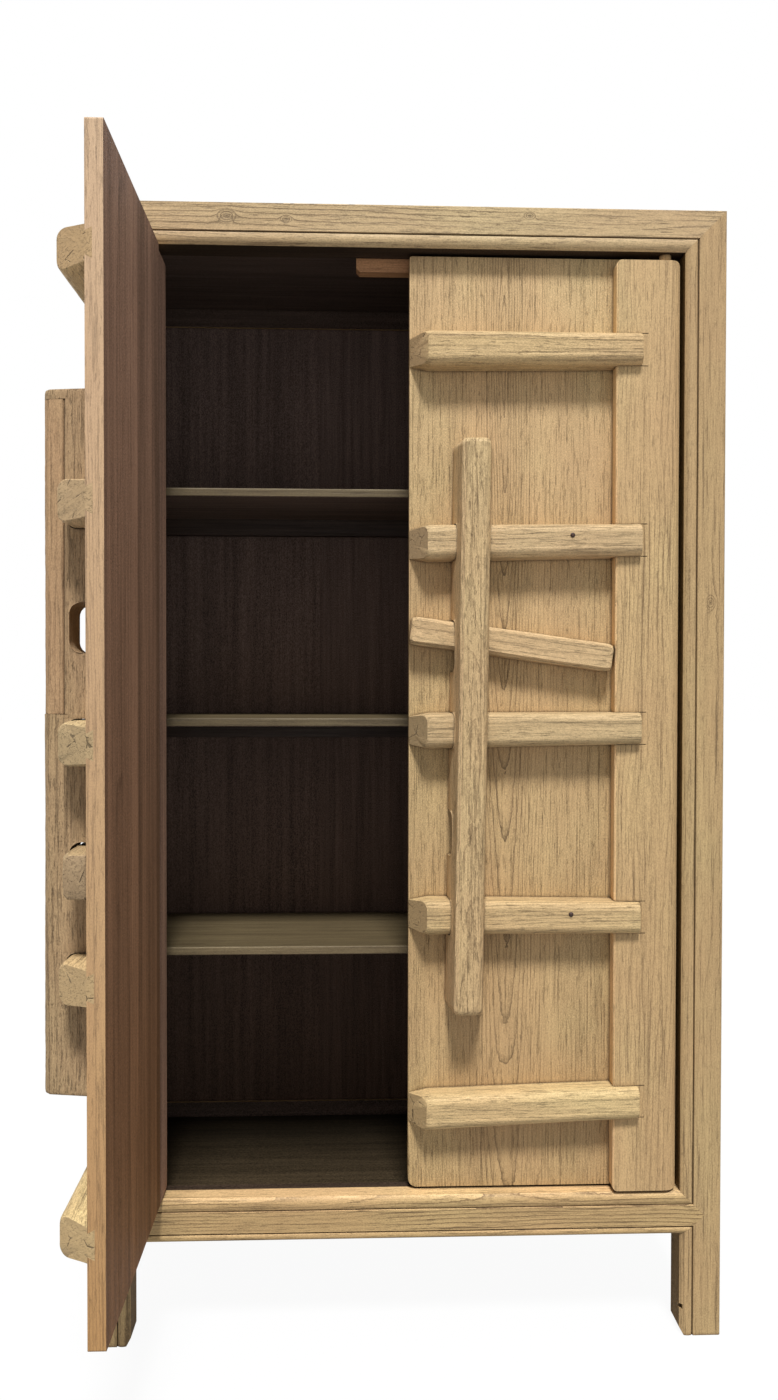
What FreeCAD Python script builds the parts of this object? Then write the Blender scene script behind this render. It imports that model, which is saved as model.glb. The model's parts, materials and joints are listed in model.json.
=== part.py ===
import FreeCAD, Part
import math
import os

# A tall two-door storage cabinet of old, bleached timber. Its plank doors turn on
# wooden pivots and are stiffened by five battens each, let in with a sliding
# dovetail. A stick on each door holds a wooden bar, and each bar slides across the
# meeting line into the stick of the other door. The left door stands open and the
# right door is shut, with both bars drawn back.
#
# Lengths are millimetres. X runs along the front to the right, Y into the cabinet
# and Z up. The origin is on the floor, on the centre line, halfway between the open
# door's free edge and the back of the cabinet.

Vector = FreeCAD.Vector

# Whole cabinet
cabinet_width = 1120.0
cabinet_height = 2000.0
cabinet_depth = 480.0
cut_overrun = 5.0

# Front frame
frame_depth = 56.0
band_width = 50.0
bead_width = 22.0
leg_clearance = 182.0
lower_bead_width = 14.0
rail_band_width = 40.0
quirk_half_width = 1.6
quirk_depth = 3.2
bead_setback = 1.2
bead_edge_fall = 7.0
bead_crown_share = 0.42
outer_arris = 2.0
arc_bow_share = 1 - math.cos(math.radians(45))
shell_depth = 18.0
tenon_depth = 16.0
tenon_length = 40.0
tenon_height_share = 0.5
foot_chamfer_width = 7.0
foot_chamfer_height = 12.0
leg_notch_level = 46.0
leg_notch_height = 9.0
leg_notch_width = 5.0
leg_notch_depth = 14.0

# Rear frame and sides
rear_post_size = 60.0
side_rail_thickness = 34.0
side_rail_inset = 6.0
rear_rail_thickness = 34.0
rear_rail_inset = 10.0
rail_tenon_length = 28.0
groove_depth = 8.0
side_panel_thickness = 12.0
top_panel_thickness = 18.0
floor_panel_thickness = 18.0
top_panel_rise = 38.0
floor_panel_drop = 31.0
floor_tongue_drop = 5.0
floor_field_clearance = 0.5
back_board_thickness = 12.0
back_board_count = 3
floor_bearer_width = 60.0
floor_bearer_stub = 10.0
floor_bearer_rise = 2.0

# Shelves
shelf_thickness = 16.0
shelf_front_setback = 145.0
shelf_side_clearance = 1.0
shelf_back_clearance = 2.0
shelf_arris = 2.5
lower_shelf_top = 668.0
shelf_spacing = 432.0
bearer_height = 34.0
side_bearer_thickness = 24.0
rear_bearer_thickness = 20.0

# Stop block for both doors
stop_half_width = 93.0
stop_thickness = 24.0
stop_drop = 24.0
stop_chamfer = 6.0

# Doors
meeting_gap = 3.0
door_bottom_gap = 4.0
plank_top_gap = 11.0
stile_top_gap = 22.0
plank_thickness = 25.0
right_plank_foot_radius = 16.0
left_plank_foot_radius = 4.0
plank_head_radius = 4.0
stile_thickness = 54.0
stile_outer_gap = 8.0
stile_width = 115.0
stile_lap = 44.0
stile_corner_radius = 9.0
stile_arris = 3.0
pivot_from_outer_edge = 22.0
pin_radius = 10.5
pin_clearance = 0.06
socket_depth = 24.0
pin_end_clearance = 2.0
right_door_rise = 5.5
left_door_open_angle = 90.0

# Battens
upper_batten_share = 0.5071
high_batten_share = 0.8315
middle_batten_share = 0.5001
low_batten_share = 0.1719
lower_batten_share = 0.4537
upper_batten_rise = 3.4
high_batten_rise = 7.5
middle_batten_rise = 5.2
low_batten_rise = -3.4
lower_batten_rise = 14.8
batten_stand = 46.0
batten_corner_radius = 16.0
batten_meeting_height = 63.0
batten_stile_height = 57.0
batten_hewn_height = 50.0
batten_hewn_length = 35.0
batten_end_bevel = 31.0
dovetail_depth = 10.0
dovetail_shoulder = 9.0
dovetail_flare = 5.0
kerf_width = 1.4
kerf_depth = 4.0
kerf_length = 12.0

# Keepers: the upright sticks that hold the bars
keeper_length = 996.0
keeper_middle_share = 0.4955
keeper_foot_centre = 101.0
keeper_head_centre = 114.0
keeper_stand = 80.0
keeper_rear_half_width = 34.0
keeper_front_half_width = 25.0
keeper_front_chamfer = 6.0
keeper_side_stand = 17.0
keeper_tip_length = 12.0
right_keeper_tip_share = 0.84
left_keeper_tip_share = 0.95
right_keeper_rise = 8.0
mortise_back_clearance = 6.0
mortise_radius = 17.0
upper_mortise_head_clearance = 2.5
right_mortise_foot_clearance = 1.5
left_mortise_foot_clearance = 9.5
lower_mortise_head_clearance = 3.0
lower_mortise_foot_clearance = 9.0

# Repair strip on the left keeper
strip_thickness = 31.0
strip_foot_rise = 40.0
strip_head_drop = 14.0

# Bars that slide across the meeting line
bar_thickness = 36.0
bar_plank_clearance = 0.0
bar_edge_chamfer = 6.0
bar_tip_length = 12.0
bar_tip_share = 0.86
bar_travel = 150.0
upper_bar_left = 3.0
upper_bar_stile_clearance = 5.0
upper_bar_level_share = 0.5390
upper_bar_height = 50.0
upper_bar_tilt_angle = 7.8
upper_bar_drop_share = 0.05
lower_bar_start = 4.0
lower_bar_stile_clearance = 9.0
lower_bar_level_share = 0.4581
lower_bar_meeting_height = 68.0
lower_bar_stile_height = 60.0

# Nails
nail_head_radius = 4.0
nail_crown_share = 0.5
nail_head_height = 1.5
nail_shank_radius = 1.8
nail_length = 60.0
nail_stile_setback = 124.0
nail_rise = 8.0
strip_nail_count = 3
strip_nail_foot_margin = 10.0
strip_nail_head_margin = 16.0

# Places that follow from the sizes
face_width = band_width + bead_width
half_width = cabinet_width / 2
post_inner_x = half_width - face_width
rail_top = leg_clearance + lower_bead_width + rail_band_width + bead_width
opening_top = cabinet_height - face_width
stile_outer_x = post_inner_x - stile_outer_gap
stile_inner_x = stile_outer_x - stile_width
pivot_x = stile_outer_x - pivot_from_outer_edge
pivot_depth = stile_thickness / 2
plank_edge_x = meeting_gap / 2
plank_back_x = stile_inner_x + stile_lap
plank_depth = stile_thickness - plank_thickness
door_reach = pivot_x - plank_edge_x - pivot_depth
front = (door_reach - cabinet_depth) / 2
door_bottom = rail_top + door_bottom_gap
plank_top = opening_top - plank_top_gap
stile_top = opening_top - stile_top_gap
door_height = plank_top - door_bottom
keeper_foot_level = door_bottom + keeper_middle_share * door_height - keeper_length / 2
keeper_head_level = keeper_foot_level + keeper_length
keeper_lean = (keeper_head_centre - keeper_foot_centre) / keeper_length
mortise_depth = bar_thickness + mortise_back_clearance
ceiling_level = opening_top + top_panel_rise
floor_level = rail_top - floor_panel_drop
rear_post_y = front + cabinet_depth - rear_post_size
rear_rail_back = front + cabinet_depth - rear_rail_inset
rear_rail_front = rear_rail_back - rear_rail_thickness
back_board_y = rear_rail_front + groove_depth
side_rail_outer_x = half_width - side_rail_inset
side_rail_inner_x = side_rail_outer_x - side_rail_thickness
side_panel_x = side_rail_outer_x - (side_rail_thickness + side_panel_thickness) / 2
rear_inner_x = half_width - rear_post_size
frame_back = front + frame_depth

pieces = {}


def block(x_pair, y_pair, z_pair):
    low = Vector(x_pair[0], y_pair[0], z_pair[0])
    return Part.makeBox(x_pair[1] - x_pair[0], y_pair[1] - y_pair[0], z_pair[1] - z_pair[0], low)


def loop(points):
    return Part.makePolygon(points + [points[0]])


def front_prism(points, depth_low, depth_high):
    # An outline in the front view, carried through the depth.
    wire = loop([Vector(x, front + depth_low, z) for x, z in points])
    return Part.Face(wire).extrude(Vector(0, depth_high - depth_low, 0))


def upright_prism(points, z_low, z_high):
    # An outline in plan, carried upwards.
    wire = loop([Vector(x, y, z_low) for x, y in points])
    return Part.Face(wire).extrude(Vector(0, 0, z_high - z_low))


def joined(shapes):
    result = shapes[0]
    for shape in shapes[1:]:
        result = result.fuse(shape)
    return result.removeSplitter()


def mirrored(shape):
    return shape.mirror(Vector(0, 0, 0), Vector(1, 0, 0))


def both_sides(name, shape):
    pieces["right_" + name] = shape
    pieces["left_" + name] = mirrored(shape)


# Front frame
def moulded_section(span, first_bead, last_bead, place):
    # Outline of a frame member: flat band, sunk quirk and rounded bead.
    # place turns (distance across, depth behind the face) into a point in space.
    edges = []
    corner = place(0, frame_depth)
    if first_bead > 0:
        edge = place(0, bead_edge_fall)
        crown = place(first_bead * (1 - bead_crown_share), 0)
        inner = place(first_bead - quirk_half_width, bead_setback)
        quirk = place(first_bead, quirk_depth)
        band = place(first_bead + quirk_half_width, 0)
        edges.append(Part.makeLine(corner, edge))
        edges.append(Part.Arc(edge, crown, inner).toShape())
        edges.append(Part.makeLine(inner, quirk))
        edges.append(Part.makeLine(quirk, band))
    else:
        edge = place(0, outer_arris)
        band = place(outer_arris, 0)
        edges.append(Part.makeLine(corner, edge))
        edges.append(Part.makeLine(edge, band))
    far_band = place(span - last_bead - quirk_half_width, 0)
    far_quirk = place(span - last_bead, quirk_depth)
    far_inner = place(span - last_bead + quirk_half_width, bead_setback)
    far_crown = place(span - last_bead * (1 - bead_crown_share), 0)
    far_edge = place(span, bead_edge_fall)
    far_corner = place(span, frame_depth)
    edges.append(Part.makeLine(band, far_band))
    edges.append(Part.makeLine(far_band, far_quirk))
    edges.append(Part.makeLine(far_quirk, far_inner))
    edges.append(Part.Arc(far_inner, far_crown, far_edge).toShape())
    edges.append(Part.makeLine(far_edge, far_corner))
    edges.append(Part.makeLine(far_corner, corner))
    return Part.Face(Part.Wire(edges))


def rail_region(outline, z_low, z_high):
    # The room of one front rail: mitred shell, square body and a tenon at each end.
    shell = front_prism(outline, -cut_overrun, shell_depth)
    body = block(
        (-post_inner_x, post_inner_x),
        (front + shell_depth, frame_back),
        (z_low, z_high),
    )
    tenon_half = (z_high - z_low) * tenon_height_share / 2
    middle = (z_low + z_high) / 2
    tenon_y = front + (shell_depth + frame_depth - tenon_depth) / 2
    tenon = block(
        (-post_inner_x - tenon_length, post_inner_x + tenon_length),
        (tenon_y, tenon_y + tenon_depth),
        (middle - tenon_half, middle + tenon_half),
    )
    return joined([shell, body, tenon])


def make_front_frame():
    top_outline = [
        (-half_width, cabinet_height),
        (half_width, cabinet_height),
        (post_inner_x, opening_top),
        (-post_inner_x, opening_top),
    ]
    quirk_x = post_inner_x + bead_width
    upper_quirk = rail_top - bead_width
    lower_quirk = leg_clearance + lower_bead_width
    tip_x = quirk_x + rail_band_width / 2
    tip_z = (upper_quirk + lower_quirk) / 2
    right_end = [
        (post_inner_x, rail_top),
        (quirk_x, upper_quirk),
        (tip_x, tip_z),
        (quirk_x, lower_quirk),
        (post_inner_x, leg_clearance),
    ]
    left_end = [(-x, z) for x, z in reversed(right_end)]
    top_room = rail_region(top_outline, opening_top, cabinet_height)
    bottom_room = rail_region(right_end + left_end, leg_clearance, rail_top)

    top_face = moulded_section(
        face_width, 0, bead_width,
        lambda across, depth: Vector(-half_width, front + depth, cabinet_height - across),
    )
    top_bar = top_face.extrude(Vector(cabinet_width, 0, 0))
    bottom_face = moulded_section(
        rail_top - leg_clearance, lower_bead_width, bead_width,
        lambda across, depth: Vector(-half_width, front + depth, leg_clearance + across),
    )
    bottom_bar = bottom_face.extrude(Vector(cabinet_width, 0, 0))
    post_face = moulded_section(
        face_width, 0, bead_width,
        lambda across, depth: Vector(half_width - across, front + depth, 0),
    )
    post = post_face.extrude(Vector(0, 0, cabinet_height))
    post = post.cut(top_room).cut(bottom_room)
    foot_cut = front_prism(
        [
            (post_inner_x - cut_overrun, -cut_overrun),
            (post_inner_x + foot_chamfer_width, -cut_overrun),
            (post_inner_x + foot_chamfer_width, 0),
            (post_inner_x, foot_chamfer_height),
            (post_inner_x - cut_overrun, foot_chamfer_height),
        ],
        -cut_overrun, frame_depth + cut_overrun,
    )
    post = post.cut(foot_cut)
    notch = block(
        (post_inner_x - cut_overrun, post_inner_x + leg_notch_width),
        (front - cut_overrun, front + leg_notch_depth),
        (leg_notch_level, leg_notch_level + leg_notch_height),
    )
    pieces["right_front_post"] = post.cut(notch)
    pieces["left_front_post"] = mirrored(post)
    pieces["front_top_rail"] = top_bar.common(top_room)
    pieces["front_bottom_rail"] = bottom_bar.common(bottom_room)


def cut_pivot_sockets():
    for side in (-1, 1):
        upper = Part.makeCylinder(
            pin_radius + pin_clearance, socket_depth + cut_overrun,
            Vector(side * pivot_x, front + pivot_depth, opening_top - cut_overrun),
        )
        lower = Part.makeCylinder(
            pin_radius + pin_clearance, socket_depth + cut_overrun,
            Vector(side * pivot_x, front + pivot_depth, rail_top - socket_depth),
        )
        pieces["front_top_rail"] = pieces["front_top_rail"].cut(upper)
        pieces["front_bottom_rail"] = pieces["front_bottom_rail"].cut(lower)


# Rear frame, sides, top, floor and back
def make_rear_and_sides():
    rear_post = block(
        (rear_inner_x, half_width),
        (rear_post_y, front + cabinet_depth),
        (0, cabinet_height),
    )
    rear_post = rear_post.makeChamfer(outer_arris, [
        edge for edge in rear_post.Edges
        if abs(edge.Vertexes[0].X - half_width) < outer_arris
        and abs(edge.Vertexes[1].X - half_width) < outer_arris
        and abs(edge.Vertexes[0].Z - edge.Vertexes[1].Z) > rear_post_size
    ])
    levels = {
        "top": (opening_top, cabinet_height),
        "bottom": (leg_clearance, rail_top),
    }
    panel = block(
        (side_panel_x, side_panel_x + side_panel_thickness),
        (frame_back - groove_depth, rear_post_y + groove_depth),
        (rail_top - groove_depth, opening_top + groove_depth),
    )
    front_post = pieces["right_front_post"].cut(panel)
    left_front_post = pieces["left_front_post"].cut(mirrored(panel))
    rear_post = rear_post.cut(panel)
    for level, (z_low, z_high) in levels.items():
        middle = (z_low + z_high) / 2
        tenon_half = (z_high - z_low) * tenon_height_share / 2
        tenon_x = (side_rail_inner_x + side_rail_outer_x - tenon_depth) / 2
        side_body = block(
            (side_rail_inner_x, side_rail_outer_x), (frame_back, rear_post_y), (z_low, z_high),
        )
        side_tenon = block(
            (tenon_x, tenon_x + tenon_depth),
            (frame_back - rail_tenon_length / 2, rear_post_y + rail_tenon_length),
            (middle - tenon_half, middle + tenon_half),
        )
        side_rail = joined([side_body, side_tenon]).cut(panel)
        side_rail = side_rail.cut(pieces["front_" + level + "_rail"])
        front_post = front_post.cut(side_rail)
        left_front_post = left_front_post.cut(mirrored(side_rail))
        rear_post = rear_post.cut(side_rail)
        pieces["right_side_" + level + "_rail"] = side_rail
        pieces["left_side_" + level + "_rail"] = mirrored(side_rail)

        rear_body = block(
            (-rear_inner_x, rear_inner_x), (rear_rail_front, rear_rail_back), (z_low, z_high),
        )
        rear_tenon_y = (rear_rail_front + rear_rail_back - tenon_depth) / 2
        stagger = tenon_half / 2
        rear_tenon = block(
            (-rear_inner_x - rail_tenon_length, rear_inner_x + rail_tenon_length),
            (rear_tenon_y, rear_tenon_y + tenon_depth),
            (middle - stagger, middle + stagger),
        )
        rear_rail = joined([rear_body, rear_tenon]).cut(side_rail).cut(mirrored(side_rail))
        rear_post = rear_post.cut(rear_rail)
        pieces["rear_" + level + "_rail"] = rear_rail
    both_sides("side_panel", panel)

    # Back boards stand side by side in the grooves of the rear frame.
    boards_left = -rear_inner_x - groove_depth
    board_width = (rear_inner_x + groove_depth) * 2 / back_board_count
    board_names = ("back_board_left", "back_board_middle", "back_board_right")
    for number, name in enumerate(board_names):
        board = block(
            (boards_left + number * board_width, boards_left + (number + 1) * board_width),
            (back_board_y, back_board_y + back_board_thickness),
            (rail_top - groove_depth, opening_top + groove_depth),
        )
        pieces[name] = board
        rear_post = rear_post.cut(board).cut(mirrored(board))
        pieces["rear_top_rail"] = pieces["rear_top_rail"].cut(board)
        pieces["rear_bottom_rail"] = pieces["rear_bottom_rail"].cut(board)

    # Top and floor panels lie in grooves run round the inside of the rails. The
    # floor has a thinner tongue there, so that its upper face lies free between them.
    panel_x = (-side_rail_inner_x - groove_depth, side_rail_inner_x + groove_depth)
    panel_y = (frame_back - groove_depth, rear_rail_front + groove_depth)
    posts = [front_post, left_front_post, rear_post, mirrored(rear_post)]
    panels = {
        "top": (ceiling_level, ceiling_level + top_panel_thickness),
        "bottom": (floor_level - floor_panel_thickness, floor_level - floor_tongue_drop),
    }
    names = {"top": "top_panel", "bottom": "floor_panel"}
    for level, z_pair in panels.items():
        slab = block(panel_x, panel_y, z_pair)
        for post in posts:
            slab = slab.cut(post)
        pieces[names[level]] = slab
        for rail in ("front_", "rear_", "right_side_", "left_side_"):
            key = rail + level + "_rail"
            pieces[key] = pieces[key].cut(slab)

    tongue_top = floor_level - floor_tongue_drop
    field = block(
        (-side_rail_inner_x + floor_field_clearance, side_rail_inner_x - floor_field_clearance),
        (frame_back + floor_field_clearance, rear_rail_front - floor_field_clearance),
        (tongue_top, floor_level),
    )
    corner = block(
        (rear_inner_x - floor_field_clearance, half_width),
        (rear_post_y - floor_field_clearance, front + cabinet_depth),
        (tongue_top - cut_overrun, floor_level + cut_overrun),
    )
    field = field.cut(corner).cut(mirrored(corner))
    pieces["floor_panel"] = joined([pieces["floor_panel"], field])

    pieces["right_front_post"] = front_post
    pieces["left_front_post"] = left_front_post
    both_sides("rear_post", rear_post)

    bearer = block(
        (-floor_bearer_width / 2, floor_bearer_width / 2),
        (frame_back - floor_bearer_stub, rear_rail_front + floor_bearer_stub),
        (leg_clearance + floor_bearer_rise, floor_level - floor_panel_thickness),
    )
    pieces["floor_bearer"] = bearer
    for key in ("front_bottom_rail", "rear_bottom_rail"):
        pieces[key] = pieces[key].cut(bearer)


def make_shelves():
    shelf_names = ("lower", "middle", "upper")
    shelf_half = side_panel_x - shelf_side_clearance
    for number, level in enumerate(shelf_names):
        top = lower_shelf_top + number * shelf_spacing
        shelf = block(
            (-shelf_half, shelf_half),
            (front + shelf_front_setback, back_board_y - shelf_back_clearance),
            (top - shelf_thickness, top),
        )
        front_edges = [
            edge for edge in shelf.Edges
            if edge.Vertexes[0].Y < front + shelf_front_setback + shelf_arris
            and edge.Vertexes[1].Y < front + shelf_front_setback + shelf_arris
            and abs(edge.Vertexes[0].Z - edge.Vertexes[1].Z) < shelf_arris
        ]
        shelf = shelf.makeFillet(shelf_arris, front_edges)
        for side in (-1, 1):
            inner = side * (rear_inner_x - shelf_side_clearance)
            outer = side * (half_width + cut_overrun)
            corner = block(
                (min(inner, outer), max(inner, outer)),
                (rear_post_y - shelf_side_clearance, front + cabinet_depth),
                (top - shelf_thickness - cut_overrun, top + cut_overrun),
            )
            shelf = shelf.cut(corner)
        pieces[level + "_shelf"] = shelf
        under = (top - shelf_thickness - bearer_height, top - shelf_thickness)
        side_bearer = block(
            (side_panel_x - side_bearer_thickness, side_panel_x),
            (frame_back, rear_post_y),
            under,
        )
        both_sides("shelf_bearer_" + level, side_bearer)
        pieces["rear_shelf_bearer_" + level] = block(
            (-rear_inner_x, rear_inner_x),
            (back_board_y - rear_bearer_thickness, back_board_y),
            under,
        )


def make_stop_block():
    stop = block(
        (-stop_half_width, stop_half_width),
        (frame_back, frame_back + stop_thickness),
        (opening_top - stop_drop, ceiling_level),
    )
    low_edges = [
        edge for edge in stop.Edges
        if edge.Vertexes[0].Z < opening_top - stop_drop + stop_chamfer
        and edge.Vertexes[1].Z < opening_top - stop_drop + stop_chamfer
        and abs(edge.Vertexes[0].Y - edge.Vertexes[1].Y) > stop_chamfer
    ]
    pieces["door_stop_block"] = stop.makeChamfer(stop_chamfer, low_edges)


# Doors, made as the shut right door and mirrored for the left one
def rounded_corners(x_pair, z_pair, radii):
    # Front outline with rounded corners: foot left, foot right, head right, head left.
    x0, x1 = x_pair
    z0, z1 = z_pair
    corners = [
        (x0, z0, 1, 1, radii[0]),
        (x1, z0, -1, 1, radii[1]),
        (x1, z1, -1, -1, radii[2]),
        (x0, z1, 1, -1, radii[3]),
    ]
    edges = []
    starts = []
    ends = []
    for index, (x, z, right, up, radius) in enumerate(corners):
        along_x = Vector(x + right * radius, front - cut_overrun, z)
        along_z = Vector(x, front - cut_overrun, z + up * radius)
        middle = Vector(
            x + right * radius * arc_bow_share,
            front - cut_overrun,
            z + up * radius * arc_bow_share,
        )
        first, second = (along_z, along_x) if index % 2 == 0 else (along_x, along_z)
        edges.append(Part.Arc(first, middle, second).toShape())
        starts.append(first)
        ends.append(second)
    for index in range(len(corners)):
        edges.append(Part.makeLine(ends[index], starts[(index + 1) % len(corners)]))
    wire = Part.Wire(Part.__sortEdges__(edges))
    through = stile_thickness + 2 * cut_overrun
    return Part.Face(wire).extrude(Vector(0, through, 0))


def make_plank(rise, foot_radius):
    plank = block(
        (plank_edge_x, plank_back_x),
        (front + plank_depth, front + stile_thickness),
        (door_bottom, plank_top + rise),
    )
    outline = rounded_corners(
        (plank_edge_x, plank_back_x),
        (door_bottom, plank_top + rise),
        (foot_radius, stile_arris, stile_arris, plank_head_radius),
    )
    return plank.common(outline)


def make_stile(rise):
    # In plan the outer front corner is an arc about the pivot, so that it clears
    # the post while it swings. The plank lies in the rebate behind the inner part.
    head_level = stile_top + rise
    reach = pivot_depth
    side_depth = pivot_depth - math.sqrt(reach ** 2 - pivot_from_outer_edge ** 2)
    arc_bearing = math.atan2(pivot_from_outer_edge, pivot_depth - side_depth) / 2
    arc_middle = Vector(
        pivot_x + reach * math.sin(arc_bearing),
        front + pivot_depth - reach * math.cos(arc_bearing),
        door_bottom,
    )
    corners = [
        Vector(stile_inner_x + stile_arris, front, door_bottom),
        Vector(pivot_x, front, door_bottom),
        Vector(stile_outer_x, front + side_depth, door_bottom),
        Vector(stile_outer_x, front + stile_thickness - stile_arris, door_bottom),
        Vector(stile_outer_x - stile_arris, front + stile_thickness, door_bottom),
        Vector(plank_back_x, front + stile_thickness, door_bottom),
        Vector(plank_back_x, front + plank_depth, door_bottom),
        Vector(stile_inner_x, front + plank_depth, door_bottom),
        Vector(stile_inner_x, front + stile_arris, door_bottom),
    ]
    edges = [
        Part.makeLine(corners[0], corners[1]),
        Part.Arc(corners[1], arc_middle, corners[2]).toShape(),
    ]
    for index in range(2, len(corners)):
        edges.append(Part.makeLine(corners[index], corners[(index + 1) % len(corners)]))
    stile = Part.Face(Part.Wire(edges)).extrude(Vector(0, 0, head_level - door_bottom))
    outline = rounded_corners(
        (stile_inner_x, stile_outer_x),
        (door_bottom, head_level),
        (stile_corner_radius, stile_corner_radius, stile_corner_radius, stile_corner_radius),
    )
    stile = stile.common(outline)
    low_end = rail_top - socket_depth
    high_end = opening_top + socket_depth - pin_end_clearance
    low_pin = Part.makeCylinder(
        pin_radius, door_bottom - low_end + cut_overrun,
        Vector(pivot_x, front + pivot_depth, low_end),
    )
    high_pin = Part.makeCylinder(
        pin_radius, high_end - head_level + cut_overrun,
        Vector(pivot_x, front + pivot_depth, head_level - cut_overrun),
    )
    return joined([stile, low_pin, high_pin])


def batten_wire(x, level, height):
    # Flat front with rounded corners, and the dovetail that is let into the plank.
    neck = height / 2 - dovetail_shoulder
    foot = neck + dovetail_flare
    bow = batten_corner_radius * arc_bow_share
    plank_y = front + plank_depth
    crown_y = plank_y - batten_stand
    side_y = crown_y + batten_corner_radius
    low = Vector(x, plank_y, level - height / 2)
    low_side = Vector(x, side_y, level - height / 2)
    low_middle = Vector(x, crown_y + bow, level - height / 2 + bow)
    low_crown = Vector(x, crown_y, level - height / 2 + batten_corner_radius)
    high_crown = Vector(x, crown_y, level + height / 2 - batten_corner_radius)
    high_middle = Vector(x, crown_y + bow, level + height / 2 - bow)
    high_side = Vector(x, side_y, level + height / 2)
    high = Vector(x, plank_y, level + height / 2)
    neck_high = Vector(x, plank_y, level + neck)
    foot_high = Vector(x, plank_y + dovetail_depth, level + foot)
    foot_low = Vector(x, plank_y + dovetail_depth, level - foot)
    neck_low = Vector(x, plank_y, level - neck)
    return Part.Wire([
        Part.makeLine(low, low_side),
        Part.Arc(low_side, low_middle, low_crown).toShape(),
        Part.makeLine(low_crown, high_crown),
        Part.Arc(high_crown, high_middle, high_side).toShape(),
        Part.makeLine(high_side, high),
        Part.makeLine(high, neck_high),
        Part.makeLine(neck_high, foot_high),
        Part.makeLine(foot_high, foot_low),
        Part.makeLine(foot_low, neck_low),
        Part.makeLine(neck_low, low),
    ])


def make_batten(level, rise):
    # The middle line climbs by the rise on its way to the stile.
    hewn_end = plank_edge_x + batten_hewn_length
    hewn_rise = rise * batten_hewn_length / (plank_back_x - plank_edge_x)
    batten = Part.makeLoft(
        [
            batten_wire(plank_edge_x, level, batten_hewn_height),
            batten_wire(hewn_end, level + hewn_rise, batten_meeting_height),
            batten_wire(plank_back_x, level + rise, batten_stile_height),
        ],
        True, True,
    )
    plank_y = front + plank_depth
    bevel = upright_prism(
        [
            (plank_edge_x, plank_y),
            (plank_edge_x + batten_end_bevel, plank_y - batten_stand),
            (plank_edge_x + batten_end_bevel, plank_y - batten_stand - cut_overrun),
            (plank_edge_x - cut_overrun, plank_y - batten_stand - cut_overrun),
            (plank_edge_x - cut_overrun, plank_y),
        ],
        level - batten_meeting_height, level + batten_meeting_height,
    )
    return batten.cut(bevel)


def kerfs(level):
    # Saw cuts that run past the end of a batten on the stile's face.
    cuts = []
    for side in (-1, 1):
        edge = level + side * batten_stile_height / 2
        cuts.append(block(
            (plank_back_x, plank_back_x + kerf_length),
            (front - cut_overrun, front + kerf_depth),
            (edge - kerf_width / 2, edge + kerf_width / 2),
        ))
    return Part.makeCompound(cuts)


def keeper_wire(z, centre, size_share):
    plank_y = front + plank_depth
    rear = keeper_rear_half_width * size_share
    face = keeper_front_half_width * size_share
    stand = keeper_stand * (1 + size_share) / 2
    cheek = face - keeper_front_chamfer
    points = [
        (centre - rear, plank_y),
        (centre - rear, plank_y - keeper_side_stand),
        (centre - face, plank_y - stand + keeper_front_chamfer),
        (centre - cheek, plank_y - stand),
        (centre + cheek, plank_y - stand),
        (centre + face, plank_y - stand + keeper_front_chamfer),
        (centre + rear, plank_y - keeper_side_stand),
        (centre + rear, plank_y),
    ]
    return loop([Vector(x, y, z) for x, y in points])


def make_keeper(tip_share, keeper_rise):
    rises = [0, keeper_tip_length, keeper_length - keeper_tip_length, keeper_length]
    shares = [tip_share, 1, 1, tip_share]
    wires = []
    for rise, size_share in zip(rises, shares):
        centre = keeper_foot_centre + keeper_lean * rise
        level = keeper_foot_level + keeper_rise + rise
        wires.append(keeper_wire(level, centre, size_share))
    return Part.makeLoft(wires, True, True)


def mortise(z_low, z_high):
    # A half-oval notch across the rear of the keeper, open towards the plank.
    x = plank_edge_x
    plank_y = front + plank_depth
    inner = plank_y - mortise_depth
    shoulder = inner + mortise_radius
    bow = mortise_radius * arc_bow_share
    low_rear = Vector(x, plank_y + cut_overrun, z_low)
    low_start = Vector(x, shoulder, z_low)
    low_middle = Vector(x, inner + bow, z_low + bow)
    low_end = Vector(x, inner, z_low + mortise_radius)
    high_end = Vector(x, inner, z_high - mortise_radius)
    high_middle = Vector(x, inner + bow, z_high - bow)
    high_start = Vector(x, shoulder, z_high)
    high_rear = Vector(x, plank_y + cut_overrun, z_high)
    wire = Part.Wire([
        Part.makeLine(low_rear, low_start),
        Part.Arc(low_start, low_middle, low_end).toShape(),
        Part.makeLine(low_end, high_end),
        Part.Arc(high_end, high_middle, high_start).toShape(),
        Part.makeLine(high_start, high_rear),
        Part.makeLine(high_rear, low_rear),
    ])
    return Part.Face(wire).extrude(Vector(stile_inner_x - plank_edge_x, 0, 0))


def bar_wire(x, height, thickness, centre_level):
    plank_y = front + plank_depth - bar_plank_clearance
    half = height / 2
    face_y = plank_y - thickness
    points = [
        (plank_y, centre_level - half),
        (face_y + bar_edge_chamfer, centre_level - half),
        (face_y, centre_level - half + bar_edge_chamfer),
        (face_y, centre_level + half - bar_edge_chamfer),
        (face_y + bar_edge_chamfer, centre_level + half),
        (plank_y, centre_level + half),
    ]
    return loop([Vector(x, y, z) for y, z in points])


def make_bar(start, length, centre_level, first_height, last_height):
    stations = [0, bar_tip_length, length - bar_tip_length, length]
    shares = [bar_tip_share, 1, 1, bar_tip_share]
    wires = []
    for station, share in zip(stations, shares):
        height = first_height + (last_height - first_height) * station / length
        wires.append(bar_wire(
            start + station, height * share, bar_thickness * share, centre_level,
        ))
    return Part.makeLoft(wires, True, True)


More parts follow.
